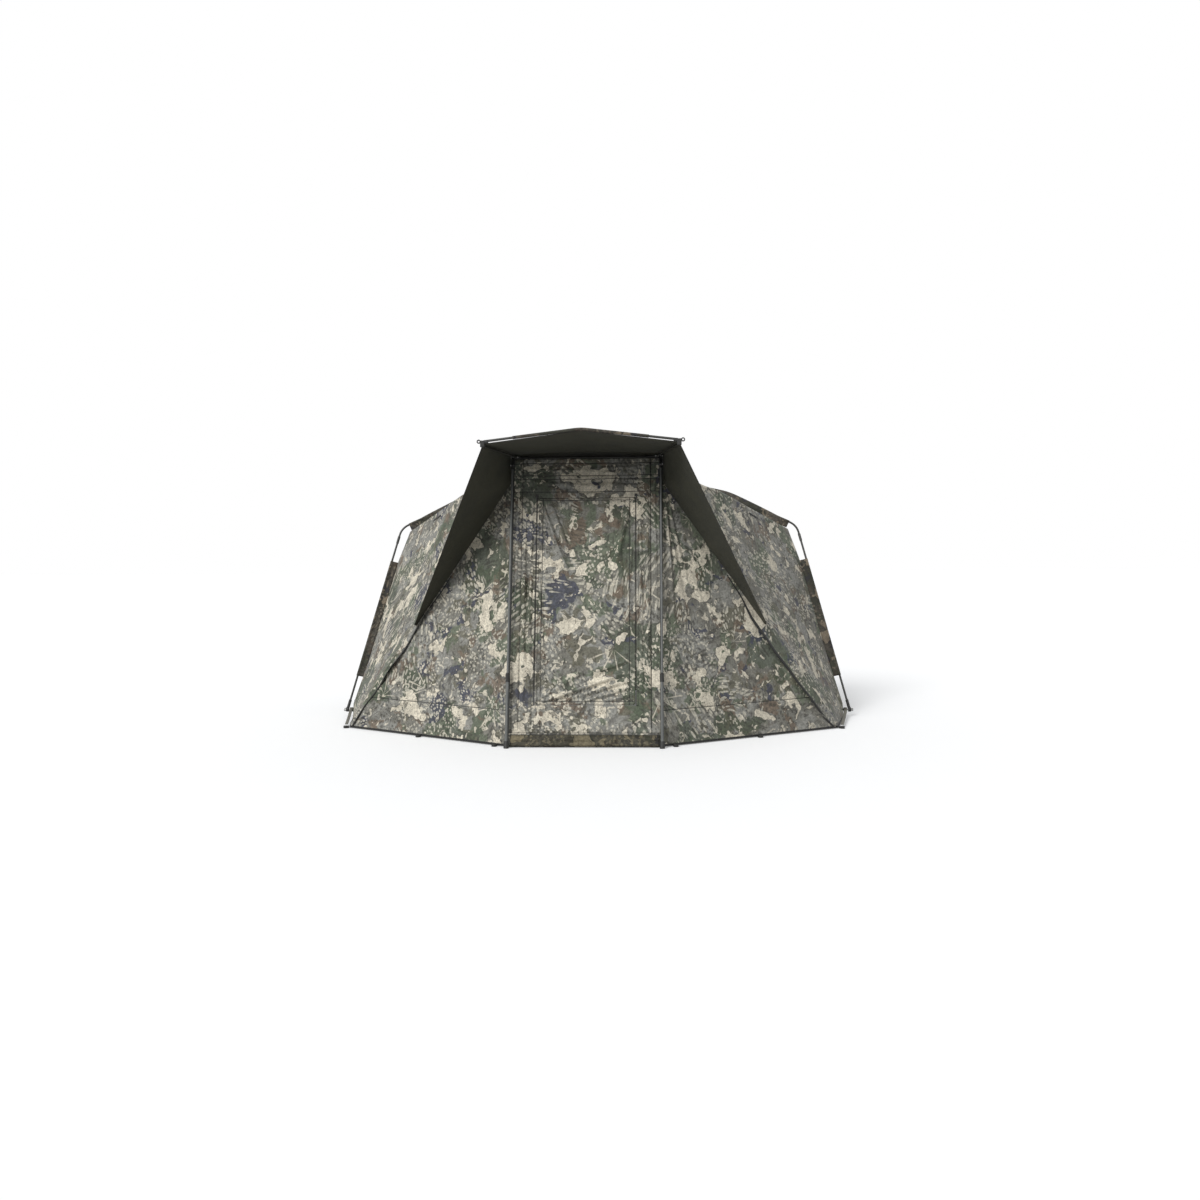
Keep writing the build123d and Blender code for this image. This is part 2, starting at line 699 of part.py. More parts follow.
sill_top = up_wall(door_bottom_z) - hinge_gap
with BuildPart() as sill:
    with BuildSketch(wall_plane):
        with BuildLine():
            Polyline(
                (-centre_half, 0), (centre_half, 0), (centre_half, slot_low),
                (door_half, slot_low), (door_half, sill_top), (-door_half, sill_top),
                (-door_half, slot_low), (-centre_half, slot_low),
                close=True,
            )
        make_face()
    extrude(amount=-cloth)
    split(bisect_by=Plane.XY, keep=Keep.TOP)
save(sill.part, "front_sill")

side_plane = Plane(origin=wall_corner, x_dir=ground_corner - wall_corner, z_dir=side_normal)
side_corners = [side_plane.to_local_coords(p) for p in (wall_corner, ground_corner, seam_top)]
with BuildPart() as side_wall:
    with BuildSketch(side_plane):
        with BuildLine():
            Polyline(*[(p.X, p.Y) for p in side_corners], close=True)
        make_face()
    extrude(amount=-cloth)
    split(bisect_by=Plane.XY, keep=Keep.TOP)
save_pair(side_wall.part, "front_side")

flap_width = 46.0
flap_end = 45.0  # the flap stops this short of each end of the seam
flap_stand = 1.0
seam_dir = (ground_corner - peak_tip).normalized()
flap_plane = Plane(origin=peak_tip + side_normal * flap_stand, x_dir=seam_dir, z_dir=side_normal)
flap_length = (ground_corner - peak_tip).length
with BuildPart() as zip_flap:
    with BuildSketch(flap_plane):
        with Locations((flap_length / 2, 0)):
            Rectangle(flap_length - 2 * flap_end, flap_width)
    extrude(amount=cloth)
save_both(zip_flap.part, "corner_zip_flaps")

# ---------------------------------------------------------------- door and its zips
with BuildPart() as door:
    with BuildSketch(wall_plane):
        with Locations((0, up_wall((door_bottom_z + door_top_z) / 2))):
            Rectangle(2 * door_half, up_wall(door_top_z - door_bottom_z))
    extrude(amount=-cloth)
save(door.part, "door_panel")


def wall_strip(low_x, high_x, low_up, high_up, base, height):
    """A straight strip on the front wall, between two distances across and two up."""
    with BuildPart() as strip:
        with BuildSketch(wall_plane.offset(base)):
            with Locations(((low_x + high_x) / 2, (low_up + high_up) / 2)):
                Rectangle(high_x - low_x, high_up - low_up)
        extrude(amount=height)
    return strip.part


chain_in = zip_x - chain_gap / 2
chain_out = zip_x + chain_gap / 2
chain_base = tape / 2 - chain_depth / 2
door_low = up_wall(door_bottom_z) + 4
door_high = up_wall(door_top_z) - 1
inner_strips = (
    wall_strip(zip_x - tape_width - chain_gap / 2, chain_in - 1, door_low, door_high, 0, tape),
    wall_strip(chain_in - 1.5, chain_in, door_low, door_high, 0, tape),
    wall_strip(chain_in - chain_width, chain_in, door_low, door_high, chain_base, chain_depth),
)
with BuildPart() as inner_zip:
    add(inner_strips)
save_both(inner_zip.part, "door_zip_inner")

outer_strips = (
    wall_strip(chain_out, zip_x + tape_width + chain_gap / 2, slot_low, slot_high, 0, tape),
    wall_strip(chain_out, chain_out + chain_width, slot_low, slot_high, chain_base, chain_depth),
)
with BuildPart() as outer_zip:
    add(outer_strips)
save_both(outer_zip.part, "door_zip_outer")

slider_half = chain_gap / 2 + chain_width + slider_play + slider_wall
slider_low = up_wall(door_top_z) + 5
slider_high = slider_low + slider_length
plate_gap = chain_depth + 2 * slider_play
plate = 2.0
pull_length = 28.0
post_half = chain_gap / 2 - slider_play
back_plate = chain_base - slider_play - plate
front_plate = back_plate + plate + plate_gap
slider_blocks = (
    wall_strip(zip_x - slider_half, zip_x + slider_half, slider_low, slider_high, back_plate, plate),
    wall_strip(zip_x - slider_half, zip_x + slider_half, slider_low, slider_high, front_plate, plate),
    wall_strip(zip_x - post_half, zip_x + post_half, slider_low, slider_high,
               back_plate + 1, plate_gap + plate),
    wall_strip(zip_x - 2, zip_x + 2, slider_low + 4, slider_high - 4, front_plate + plate, 3),
    wall_strip(zip_x - 0.4, zip_x + 6.4, slider_high - pull_length, slider_high - 4,
               front_plate + plate + 2, 1.6),
)
with BuildPart() as slider:
    add(slider_blocks)
save_pair(slider.part, "door_slider")

# ---------------------------------------------------------------- storm poles
pole_bottom = -pole_stand_off * lean_sin / lean_cos  # where the pole's centre line meets the ground


def on_pole(up):
    return on_wall(wall_half, up, pole_stand_off)


top_plug = 22.0
with BuildPart() as inner_pole:
    with BuildSketch(along(on_pole(inner_pole_end), on_pole(pole_up))):
        Circle(inner_pole_d / 2)
        Circle(inner_pole_bore / 2, mode=Mode.SUBTRACT)
    extrude(amount=pole_up - top_plug - inner_pole_end)
save_pair(inner_pole.part, "storm_pole_inner")

with BuildPart() as pole_head:
    with BuildSketch(along(on_pole(pole_up - top_plug - 25), on_pole(pole_up))):
        Circle(inner_pole_bore / 2 - running_play)
    extrude(amount=25)
    with BuildSketch(along(on_pole(pole_up - top_plug), on_pole(pole_up))):
        Rectangle(pole_eye, inner_pole_d)
    extrude(amount=top_plug)
    with BuildSketch(across(pole_pin - Vector(pole_eye / 2, 0, 0))):
        Circle(inner_pole_d / 2)
    extrude(amount=pole_eye)
    with BuildSketch(across(pole_pin - Vector(pole_eye, 0, 0))):
        Circle(pin_d / 2 + running_play)
    extrude(amount=2 * pole_eye, mode=Mode.SUBTRACT)
save_pair(pole_head.part, "storm_pole_head")

foot_seat = 12.0  # the outer tube stands this far above the pole's ground point, in the foot
with BuildPart() as outer_pole:
    with BuildSketch(along(on_pole(pole_bottom + foot_seat), on_pole(outer_pole_top))):
        Circle(outer_pole_d / 2)
        Circle(inner_pole_d / 2 + pole_play, mode=Mode.SUBTRACT)
    extrude(amount=outer_pole_top - pole_bottom - foot_seat)
save_pair(outer_pole.part, "storm_pole_outer")

with BuildPart() as pole_foot:
    with BuildSketch(along(on_pole(pole_bottom - foot_seat), on_pole(pole_up))):
        Circle(pole_foot_d / 2)
    extrude(amount=pole_foot_height + foot_seat)
    with BuildSketch(along(on_pole(pole_bottom + foot_seat), on_pole(pole_up))):
        Circle(outer_pole_d / 2 + running_play)
    extrude(amount=pole_foot_height, mode=Mode.SUBTRACT)
    split(bisect_by=Plane.XY, keep=Keep.TOP)
save_pair(pole_foot.part, "storm_pole_foot")

flutes = 8
flute_d = 4.0
with BuildPart() as collar:
    collar_plane = along(on_pole(outer_pole_top - collar_length + 14), on_pole(pole_up))
    with BuildSketch(collar_plane):
        Circle(collar_d / 2)
        Circle(outer_pole_d / 2 + pole_play, mode=Mode.SUBTRACT)
        with PolarLocations(collar_d / 2, flutes):
            Circle(flute_d / 2, mode=Mode.SUBTRACT)
    extrude(amount=collar_length)
    with BuildSketch(collar_plane.offset(collar_length)):
        Circle(collar_d / 2 - flute_d / 2)
        Circle(inner_pole_d / 2 + pole_play, mode=Mode.SUBTRACT)
    extrude(amount=4)
save_pair(collar.part, "storm_pole_collar")

# ---------------------------------------------------------------- cabin cloth, between the ribs
front_share = (0.0, 0.10, 0.34, 0.62, 1.0)
behind = side_normal * -(cloth + seam_gap)
front_side = [between(ground_corner, cloth_seam_top, share) + behind for share in front_share]
front_side[0] = Vector(front_side[0].X, front_side[0].Y, 0)
front_side += [roof_corner]

leg_depths = (0.0, 60.0, 330.0, 660.0, 930.0)
centre_line = [leg_place(out) for out in leg_depths]
inner_leg = [(x - sleeve_depth * 1.03, out) for x, out in centre_line]
shoulder_line = inset([centre_bend, centre_shoulder, centre_haunch, centre_crown], sleeve_depth)
cloth_bend = (centre_bend[0] - sleeve_depth * 1.35, centre_bend[1] - sleeve_depth * 0.6)


def notch(back_shift):
    """The two lowest points beside the axle, where the cloth is cut away round it."""
    notch_back = axle_back + back_shift
    return [spot(block_hem_x, notch_back, 0), spot(block_hem_x - 4, notch_back, 2 * axle_z)]


def shifted(points, back_shift):
    return [p + Vector(0, back_shift, 0) for p in points]


leg_cloth = [on_rib(centre_lean, p) for p in inner_leg[2:]] + [on_rib(centre_lean, cloth_bend)]
roof_cloth = [on_rib(centre_lean, cloth_bend)] + [on_rib(centre_lean, p) for p in shoulder_line[1:]]
half_seam = rib_seam / 2
cloth_pair([front_side, notch(-block_notch) + shifted(leg_cloth, -half_seam)], "cabin_side_front")


def roof_between(front, rear, name):
    """A roof panel from two right-hand rows that run from the eaves to the ridge."""
    rows = [row + [flipped(p) for p in reversed(row[:-1])] for row in (front, rear)]
    cloth_panel(rows, name)


eaves = Vector(-3 * seam_gap, 0, 2 * seam_gap)
front_roof = [
    spot((wall_half + cloth_out) * c, roof_back, roof_corner_z + roof_rise * (1 - c * c))
    for c in (1.0, 0.66, 0.33, 0.0)
]
front_roof[0] += eaves
centre_roof = shifted(roof_cloth, -half_seam)
centre_roof[0] += eaves
roof_between(front_roof, centre_roof, "cabin_roof_front")

rear_line = [
    (rear_eye_x + (rear_bend[0] - rear_eye_x) * out / rear_bend[1], out)
    for out in (330.0, 660.0, 930.0)
]
rear_cloth = [(x + rear_cover, out) for x, out in rear_line]
rear_shoulder = inset([rear_bend, rear_haunch, rear_crown], -rear_cover)
rear_side = [spot(block_hem_x, axle_back + block_notch + 1, 2 * axle_z)]
rear_side += [on_rib(rear_lean, p) for p in rear_cloth + [rear_shoulder[0]]]
rear_front_leg = [notch(block_notch)[1]] + shifted(leg_cloth, half_seam)
rear_front_leg[0] += Vector(-2, 0, seam_gap + 4)
cloth_pair([rear_front_leg, rear_side], "cabin_side_rear")

centre_roof_rear = shifted(roof_cloth, half_seam)
rear_roof = [on_rib(rear_lean, p) for p in rear_shoulder]
rear_mid = between(rear_roof[1], rear_roof[2], 0.5)
rear_roof = [rear_roof[0], rear_roof[1], rear_mid, rear_roof[2]]
centre_roof_rear[0] += eaves
rear_roof[0] += eaves
roof_between(centre_roof_rear, rear_roof, "cabin_roof_rear")

drop = Vector(0, half_seam, -half_seam)
wall_head = [p + drop for p in [on_rib(rear_lean, q) for q in rear_cloth + [rear_shoulder[0]]]]
side_hem = [spot(block_hem_x, axle_back + block_notch, 0)]
side_hem += [spot(x, back, 0) for x, back in (hem_side, hem_quarter)]
side_hem += [between(spot(hem_quarter[0], hem_quarter[1], 0), spot(hem_rear[0], hem_rear[1], 0), 0.5)]
side_hem += [spot(hem_rear[0], hem_rear[1], 0)]
side_head = [rear_side[0] + drop] + wall_head
cloth_pair([side_head, side_hem], "back_side")

back_head = [p + drop for p in (on_rib(rear_lean, q) for q in rear_shoulder)]
back_head[0] += Vector(-2 * seam_gap, 0, 0)
back_hem = [spot(hem_rear[0] - 2 * seam_gap, hem_rear[1], 0), spot(hem_back[0], hem_back[1], 0),
            spot(0, hem_middle_back, 0)]
roof_between(back_head, back_hem, "back_wall")

# ---------------------------------------------------------------- webbing, and the peg eyelets
strap_top = spot(strap_x, axle_back - axle_d, axle_z)
strap_low = ground_corner + Vector(eyelet_out + 2, eyelet_out, eyelet_height + 3)
half_strap = Vector(strap_width / 2, 0, 0)
with BuildPart() as strap:
    strap_edges = [[point + half_strap, point - half_strap] for point in (strap_low, strap_top)]
    add(sheet(strap_edges))
    loop_start = spot(strap_x - strap_width / 2, axle_back, axle_z)
    with BuildSketch(across(loop_start)):
        Circle(axle_d / 2 + 6)
    extrude(amount=strap_width)
    with BuildSketch(across(loop_start - Vector(2, 0, 0))):
        Circle(axle_d / 2 + running_play)
    extrude(amount=strap_width + 4, mode=Mode.SUBTRACT)
save_both(strap.part, "corner_straps")


def eyelet(place, outward):
    """A moulded ring on the ground beside the hem, with a lug towards the cloth."""
    out = Vector(outward[0], outward[1], 0).normalized()
    centre = place + out * eyelet_out
    with BuildPart() as ring:
        with BuildSketch(Plane(origin=centre, x_dir=out, z_dir=(0, 0, 1))):
            Circle(eyelet_d / 2)
            with Locations((-(eyelet_out - hem_gap) / 2, 0)):
                Rectangle(eyelet_out - hem_gap, eyelet_d / 2)
            Circle(eyelet_bore / 2, mode=Mode.SUBTRACT)
        extrude(amount=eyelet_height)
    return ring.part


front_run = (ground_corner - wall_corner).normalized()
front_out_dir = (front_run.Y, -front_run.X)
mid_hem = between(wall_corner, ground_corner, 0.52)
near_hem = between(wall_corner, ground_corner, 0.06)
front_rings = (
    eyelet(ground_corner, (1.0, -0.25)),
    eyelet(mid_hem, front_out_dir),
    eyelet(near_hem, front_out_dir),
)
with BuildPart() as front_eyelets:
    add(front_rings)
save_both(front_eyelets.part, "front_eyelets")

rear_rings = (
    eyelet(spot(hem_quarter[0], hem_quarter[1], 0), (1.0, 0.45)),
    eyelet(spot(hem_rear[0], hem_rear[1], 0), (0.6, 0.8)),
)
middle_ring = eyelet(spot(0, hem_middle_back, 0), (0.0, 1.0))
with BuildPart() as rear_eyelets:
    add(rear_rings)
    mirror(rear_eyelets.part, about=Plane.YZ)
    add(middle_ring)
save(rear_eyelets.part, "rear_eyelets")
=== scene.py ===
# %% [markdown]
# # A peaked fishing shelter, dressed on its frame
# The shelter is cloth stretched over folding ribs. The ribs, blocks and poles are exact solids,
# and they are used as they come. This lesson makes the cloth, its seams and its print round them.

# %% Load the frame
import json
from math import cos, pi, radians, sin, tan

import bpy
import numpy as np
from mathutils import Matrix, Vector, noise


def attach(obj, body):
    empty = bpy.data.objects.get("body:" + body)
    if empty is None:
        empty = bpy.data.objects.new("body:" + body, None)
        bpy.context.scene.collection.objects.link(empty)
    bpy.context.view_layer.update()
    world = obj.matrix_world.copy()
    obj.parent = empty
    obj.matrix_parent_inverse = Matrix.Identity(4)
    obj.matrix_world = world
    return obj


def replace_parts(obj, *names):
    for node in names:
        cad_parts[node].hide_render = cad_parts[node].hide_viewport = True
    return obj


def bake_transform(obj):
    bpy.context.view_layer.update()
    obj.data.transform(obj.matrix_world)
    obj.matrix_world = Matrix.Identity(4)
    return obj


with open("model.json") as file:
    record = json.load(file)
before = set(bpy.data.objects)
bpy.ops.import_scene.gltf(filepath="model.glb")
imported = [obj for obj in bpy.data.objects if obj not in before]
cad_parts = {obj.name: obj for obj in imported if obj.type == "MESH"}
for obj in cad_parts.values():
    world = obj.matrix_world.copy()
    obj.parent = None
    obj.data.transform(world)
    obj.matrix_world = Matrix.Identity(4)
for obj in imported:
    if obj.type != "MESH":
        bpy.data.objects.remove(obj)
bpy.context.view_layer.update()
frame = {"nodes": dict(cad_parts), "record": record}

# %% [markdown]
# ## Places on the shelter
# Every panel hangs between a few points: where the walls meet, and the planes of the ribs. They
# are worked out once, in metres, from the same sizes as the solids.

# %% Points and planes
CLOTH = 0.0012  # how thick a sheet is
POLE_LINE = -1.170  # the storm pole feet stand on this line
WALL_FOOT = 0.031  # how far behind them the wall meets the ground
WALL_LEAN = radians(14.35)
WALL_HALF = 0.387  # half the width between the poles
WALL_OUT = 0.010  # the cloth stands this far outside the poles at the roof
SEAM_TOP, ROOF_HIGH, ARCH_RISE = 1.330, 1.485, 0.015
AXLE_BACK, AXLE_HIGH = -0.030, 0.040
CENTRE_LEAN = radians(16.9)
REAR_LEAN = radians(50.0)


def arr(*numbers):
    return np.array(numbers, float)


def unit(v):
    return v / np.linalg.norm(v)


def spot(x, back, z):
    """A point given by its distance behind the storm pole feet."""
    return arr(x, back + POLE_LINE, z)


def wall_back(z):
    return WALL_FOOT + z * tan(WALL_LEAN)


def up_wall(z):
    return z / cos(WALL_LEAN)


def on_wall(x, up, proud=0.0):
    """A point on the front wall: across, up its slope, and out from its face."""
    slope = arr(0, sin(WALL_LEAN), cos(WALL_LEAN))
    outward = arr(0, -cos(WALL_LEAN), sin(WALL_LEAN))
    return spot(x, WALL_FOOT, 0) + up * slope + proud * outward


def on_rib(lean, x, out):
    """A point in the plane of a rib: across, and out from the axle."""
    return arr(x, AXLE_BACK + out * sin(lean), AXLE_HIGH + out * cos(lean))


def to_side(side, points):
    """Points as they are on the right, for side 1, or their mirror image on the left, for -1."""
    return np.asarray(points) * arr(side, 1, 1)


def side_name(side):
    return "left" if side < 0 else "right"


def between(a, b, share):
    return a + (b - a) * share


wall_corner = spot(WALL_HALF, wall_back(0), 0)
seam_top = spot(WALL_HALF + WALL_OUT, wall_back(SEAM_TOP), SEAM_TOP)
roof_corner = spot(WALL_HALF + WALL_OUT, wall_back(ROOF_HIGH), ROOF_HIGH)
ground_corner = spot(1.355, 0.670, 0)
peak_tip = between(seam_top, ground_corner, 0.584)
pole_way = spot(WALL_HALF, wall_back(SEAM_TOP), SEAM_TOP) - wall_corner
side_out = unit(np.cross(pole_way, ground_corner - wall_corner))
side_out = side_out * np.sign(-side_out[1])
print("the peak's side walls end at", peak_tip.round(3))

# %% [markdown]
# ## Lines with rounded corners
# Cloth doesn't turn a sharp corner over a tube. Each edge of a panel is a run of points whose
# corners are rounded and which is cut into even steps, so two edges can be joined point to point.

# %% Rounded runs
def gone_along(points):
    """How far along a run each of its points is."""
    return np.concatenate([[0], np.cumsum(np.linalg.norm(np.diff(points, axis=0), axis=-1))])


def even_steps(points, count):
    """A run of points cut again into count even steps."""
    points = np.asarray(points, float)
    gone = gone_along(points)
    marks = np.linspace(0, gone[-1], count + 1)
    return np.stack([np.interp(marks, gone, points[:, k]) for k in range(3)], axis=1)


def rounded(points, radii, counts):
    """A path with rounded corners. counts gives the steps from each corner to the next."""
    points = [np.asarray(p, float) for p in points]
    before, after = [], []
    for i, p in enumerate(points):
        arc = [p, p]
        if 0 < i < len(points) - 1 and radii[i] > 0:
            a, b = points[i - 1] - p, points[i + 1] - p
            limit = 0.45 * min(np.linalg.norm(a), np.linalg.norm(b))
            a, b = unit(a), unit(b)
            half = np.arccos(np.clip(a @ b, -1, 1)) / 2
            turn = pi - 2 * half
            if turn > 0.01:
                reach = min(radii[i] / tan(half), limit)
                centre = p + unit(a + b) * reach / cos(half)
                first, last = p + a * reach - centre, p + b * reach - centre
                arc = [centre + (sin((1 - s) * turn) * first + sin(s * turn) * last) / sin(turn)
                       for s in np.linspace(0, 1, 9)]
        before.append(arc[:len(arc) // 2 + 1])
        after.append(arc[len(arc) // 2:])
    path = [even_steps(after[i] + before[i + 1], n)[:-1] for i, n in enumerate(counts)]
    return np.concatenate(path + [points[-1][None]])


def edge_shares(count, margin):
    """Even shares from 0 to 1, with one more close to each end for a bound edge."""
    return np.concatenate([[0], np.linspace(margin, 1 - margin, count), [1]])


def whole(half, counts):
    """A list that runs up one side, and down the other as its mirror image."""
    return half + [to_side(-1, p) for p in reversed(half[:-1])], counts + counts[::-1]


# %% [markdown]
# ## Slack and creases
# A tight panel still shows how it is held. It sags in its middle, and creases run from the points
# that pull it. Both are pushed along the panel's normal and fade out at its seams, so that two
# panels still meet there.

# %% Folds in a panel
CABIN_MIDDLE = arr(0, -0.1, 0.55)


def normals_of(grid, inner=CABIN_MIDDLE):
    """The normal at each point of a grid, turned away from an inner point."""
    out = np.cross(np.gradient(grid, axis=0), np.gradient(grid, axis=1))
    out = out / np.maximum(np.linalg.norm(out, axis=-1, keepdims=True), 1e-9)
    return out * np.sign(np.sum(out * (grid - inner)))


def fold_rows(rows, place=arr, side=1):
    """Folds from rows of numbers: where each starts and ends, then its width and its height."""
    n = len(rows[0]) // 2 - 1
    return [(place(side * row[0], *row[1:n]), place(side * row[n], *row[n + 1:2 * n]), *row[2 * n:])
            for row in rows]


def creases(grid, folds):
    """Height of soft ridges, or hollows where it is negative, that run from one point to another."""
    height = np.zeros(grid.shape[:2])
    for start, end, width, tall in folds:
        start, run = np.asarray(start, float), np.asarray(end, float) - np.asarray(start, float)
        share = np.clip(((grid - start) @ run) / (run @ run), 0, 1)
        away = np.linalg.norm(grid - start - share[..., None] * run, axis=-1)
        spread = width * (0.4 + 0.6 * share)
        bell = np.exp(-(away / spread) ** 2) - 0.4 * np.exp(-((away - 1.9 * spread) / spread) ** 2)
        height += tall * bell * np.sin(pi * np.clip(0.1 + 0.9 * share, 0, 1)) ** 0.6
    return height


def rumple(grid, size, seed, stretch=(1, 1, 1)):
    """Smooth unevenness from -1 to 1, with lumps of about the given size."""
    away = Vector((17.3 * seed, 5.1 * seed, 9.7 * seed))
    scale = np.array(stretch) / size
    values = [noise.noise(Vector(p * scale) + away) + 0.5 * noise.noise(Vector(2.1 * p * scale) + away)
              for p in grid.reshape(-1, 3)]
    return np.array(values).reshape(grid.shape[:2])


def fade(grid, top, bottom, left, right):
    """1 inside a grid and 0 at its edges, over the given distances."""
    keep = np.ones(grid.shape[:2])
    for axis, first, last in ((0, top, bottom), (1, left, right)):
        step = np.linalg.norm(np.diff(grid, axis=axis), axis=-1)
        none = np.zeros_like(np.take(step, [0], axis=axis))
        gone = np.concatenate([none, np.cumsum(step, axis=axis)], axis=axis)
        for distance, reach in ((gone, first), (np.take(gone, [-1], axis=axis) - gone, last)):
            if reach > 0:
                t = np.clip(distance / reach, 0, 1)
                keep = keep * t * t * (3 - 2 * t)
    return keep


def belly(grid):
    rows, cols = np.linspace(0, pi, grid.shape[0]), np.linspace(0, pi, grid.shape[1])
    return np.sin(rows)[:, None] * np.sin(cols)[None, :]


def slacken(grid, sag, folds, ripple, size, seed, margins, inner=CABIN_MIDDLE):
    """A grid with sag, creases and a small ripple, all held to nothing at its edges."""
    lift = creases(grid, folds) + ripple * rumple(grid, size, seed)
    lift = lift * fade(grid, *margins) - sag * belly(grid)
    return grid + normals_of(grid, inner) * lift[..., None]


# %% [markdown]
# ## From a grid to a piece
# A grid becomes a sheet with a little thickness: the print outside, the bare lining inside, and
# black tape on its bound edges, which on some faces is painted shade. Each point also stores where
# it is at rest. The print reads that, so it stays on the cloth when a fold moves it.

# %% Making a sheet
def in_scene(name, data):
    """A new object, linked to the scene."""
    piece = bpy.data.objects.new(name, data)
    bpy.context.scene.collection.objects.link(piece)
    return piece


def new_piece(name, verts, faces, materials, slots, uvs):
    mesh = bpy.data.meshes.new(name)
    mesh.from_pydata([tuple(v) for v in verts], [], [tuple(int(k) for k in f) for f in faces])
    mesh.update()
    layer = mesh.uv_layers.new(name="UVMap")
    loops = np.zeros(len(mesh.loops), np.int32)
    mesh.loops.foreach_get("vertex_index", loops)
    layer.data.foreach_set("uv", np.asarray(uvs, np.float32)[loops].ravel())
    rest = mesh.attributes.new("cloth_at", "FLOAT_VECTOR", "POINT")
    rest.data.foreach_set("vector", np.asarray(verts, np.float32).ravel())
    mesh.shade_smooth()
    for material in materials:
        mesh.materials.append(material)
    if slots is not None:
        mesh.polygons.foreach_set("material_index", np.asarray(slots, np.int32))
    return in_scene(name, mesh)


def bake(piece):
    """Turn a piece's modifiers into plain mesh."""
    graph = bpy.context.evaluated_depsgraph_get()
    solid = piece.evaluated_get(graph)
    mesh = bpy.data.meshes.new_from_object(solid, preserve_all_data_layers=True, depsgraph=graph)
    piece.modifiers.clear()
    piece.data = mesh
    return piece


def thicken(piece, thickness, inside=0):
    """Give a sheet its thickness, inwards. inside is how many slots on its inner face's finish is."""
    wall = piece.modifiers.new("thickness", "SOLIDIFY")
    wall.thickness, wall.offset, wall.use_even_offset, wall.material_offset = thickness, -1, False, inside
    return bake(piece)


def facing_out(grid, inner):
    """A grid's points, and its quads wound so that they face away from inner."""
    rows, cols = grid.shape[:2]
    index = np.arange(rows * cols).reshape(rows, cols)
    quads = np.stack([index[:-1, :-1], index[1:, :-1], index[1:, 1:], index[:-1, 1:]], axis=-1).reshape(-1, 4)
    points = grid.reshape(-1, 3)
    a, b, c, d = points[quads.T]
    if np.sum(np.cross(c - a, d - b) * (points[quads].mean(axis=1) - inner)) < 0:
        quads = quads[:, ::-1]
    return points, quads


def tape_and_shade_faces(grid, rows=(), columns=()):
    """Which faces of a grid are black tape, some of it painted shade: some of its rows and columns."""
    bound = np.zeros((grid.shape[0] - 1, grid.shape[1] - 1), bool)
    bound[list(rows)] = True
    bound[:, list(columns)] = True
    return bound


def cloth_sheet(name, grid, outer, inside, tape=None, bound=None, keep=None, inner=CABIN_MIDDLE, thick=CLOTH):
    """A sheet from a grid. bound marks the faces that are black tape, some of it painted shade, and keep the
    faces that stay.
    """
    points, quads = facing_out(grid, inner)
    slots = np.zeros(len(quads), int) if bound is None else np.where(bound.reshape(-1), 2, 0)
    if keep is not None:
        quads, slots = quads[keep.reshape(-1)], slots[keep.reshape(-1)]
    down = np.concatenate([[0], np.cumsum(np.linalg.norm(np.diff(grid, axis=0), axis=-1).mean(axis=1))])
    over = np.concatenate([[0], np.cumsum(np.linalg.norm(np.diff(grid, axis=1), axis=-1).mean(axis=0))])
    uvs = np.stack(np.meshgrid(over, down), axis=-1).reshape(-1, 2)
    used = np.unique(quads)
    again = np.full(len(points), -1)
    again[used] = np.arange(len(used))
    piece = new_piece(name, points[used], again[quads], [outer, inside, tape or outer], slots, uvs[used])
    area = sum(face.area for face in piece.data.polygons)
    wide = np.linalg.norm(np.diff(grid, axis=1), axis=-1).sum(axis=1).max()
    long = np.linalg.norm(np.diff(grid, axis=0), axis=-1).sum(axis=0).max()
    piece["cut"] = [round(float(wide), 3), round(float(long), 3), round(float(area), 3)]
    thicken(piece, thick, 1)
    for face in piece.data.polygons:
        face.material_index = min(face.material_index, 2)
    return piece


def fit(piece, stands_for=(), body=None):
    """Hide the solids that a sheet stands for, and put it on a body when one is given."""
    if stands_for:
        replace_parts(piece, *stands_for)
    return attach(piece, body) if body else piece


# %% [markdown]
# ## The camouflage print
# The print is blotches of grey, green, olive, brown and slate, with torn cream patches, streaked
# leaves and thin pale twigs. Noise of several sizes gives each layer its own outline. One node
# group draws it, and every printed cloth uses that group.

# %% Node helpers
class Tree:
    """Adds nodes in reading order, and links or sets their inputs."""

    def __init__(self, nodes):
        self.tree = nodes
        self.count = 0

    def add(self, kind, inputs=None, **settings):
        node = self.tree.nodes.new(kind)
        node.location = (220 * (self.count % 12), -280 * (self.count // 12))
        self.count += 1
        for key, value in settings.items():
            setattr(node, key, value)
        for key, value in (inputs or {}).items():
            if isinstance(value, bpy.types.NodeSocket):
                self.tree.links.new(value, node.inputs[key])
            else:
                node.inputs[key].default_value = value
        return node

    def math(self, operation, a, b=0.0, c=0.0):
        return self.add("ShaderNodeMath", {0: a, 1: b, 2: c}, operation=operation).outputs[0]

    def times(self, a, b):
        return self.math("MULTIPLY", a, b)

    def link(self, output, socket):
        self.tree.links.new(output, socket)

    def vector(self, operation, a, b=(0, 0, 0)):
        return self.add("ShaderNodeVectorMath", {0: a, 1: b}, operation=operation).outputs[0]

    def scaled(self, a, scale):
        return self.add("ShaderNodeVectorMath", {0: a, "Scale": scale}, operation="SCALE").outputs[0]

    def mix(self, factor, a, b, blend="MIX"):
        return self.add("ShaderNodeMix", {0: factor, 6: a, 7: b}, data_type="RGBA", blend_type=blend).outputs[2]

    def step(self, value, low, high):
        """0 below low, 1 above high, and smooth between them."""
        return self.add("ShaderNodeMapRange", {0: value, 1: low, 2: high, 3: 0.0, 4: 1.0},
                        interpolation_type="SMOOTHSTEP").outputs[0]

    def noise(self, place, scale, detail=2.0, rough=0.5, twist=0.0):
        return self.add("ShaderNodeTexNoise", {"Vector": place, "Scale": scale, "Detail": detail,
                                               "Roughness": rough, "Distortion": twist}).outputs[0]


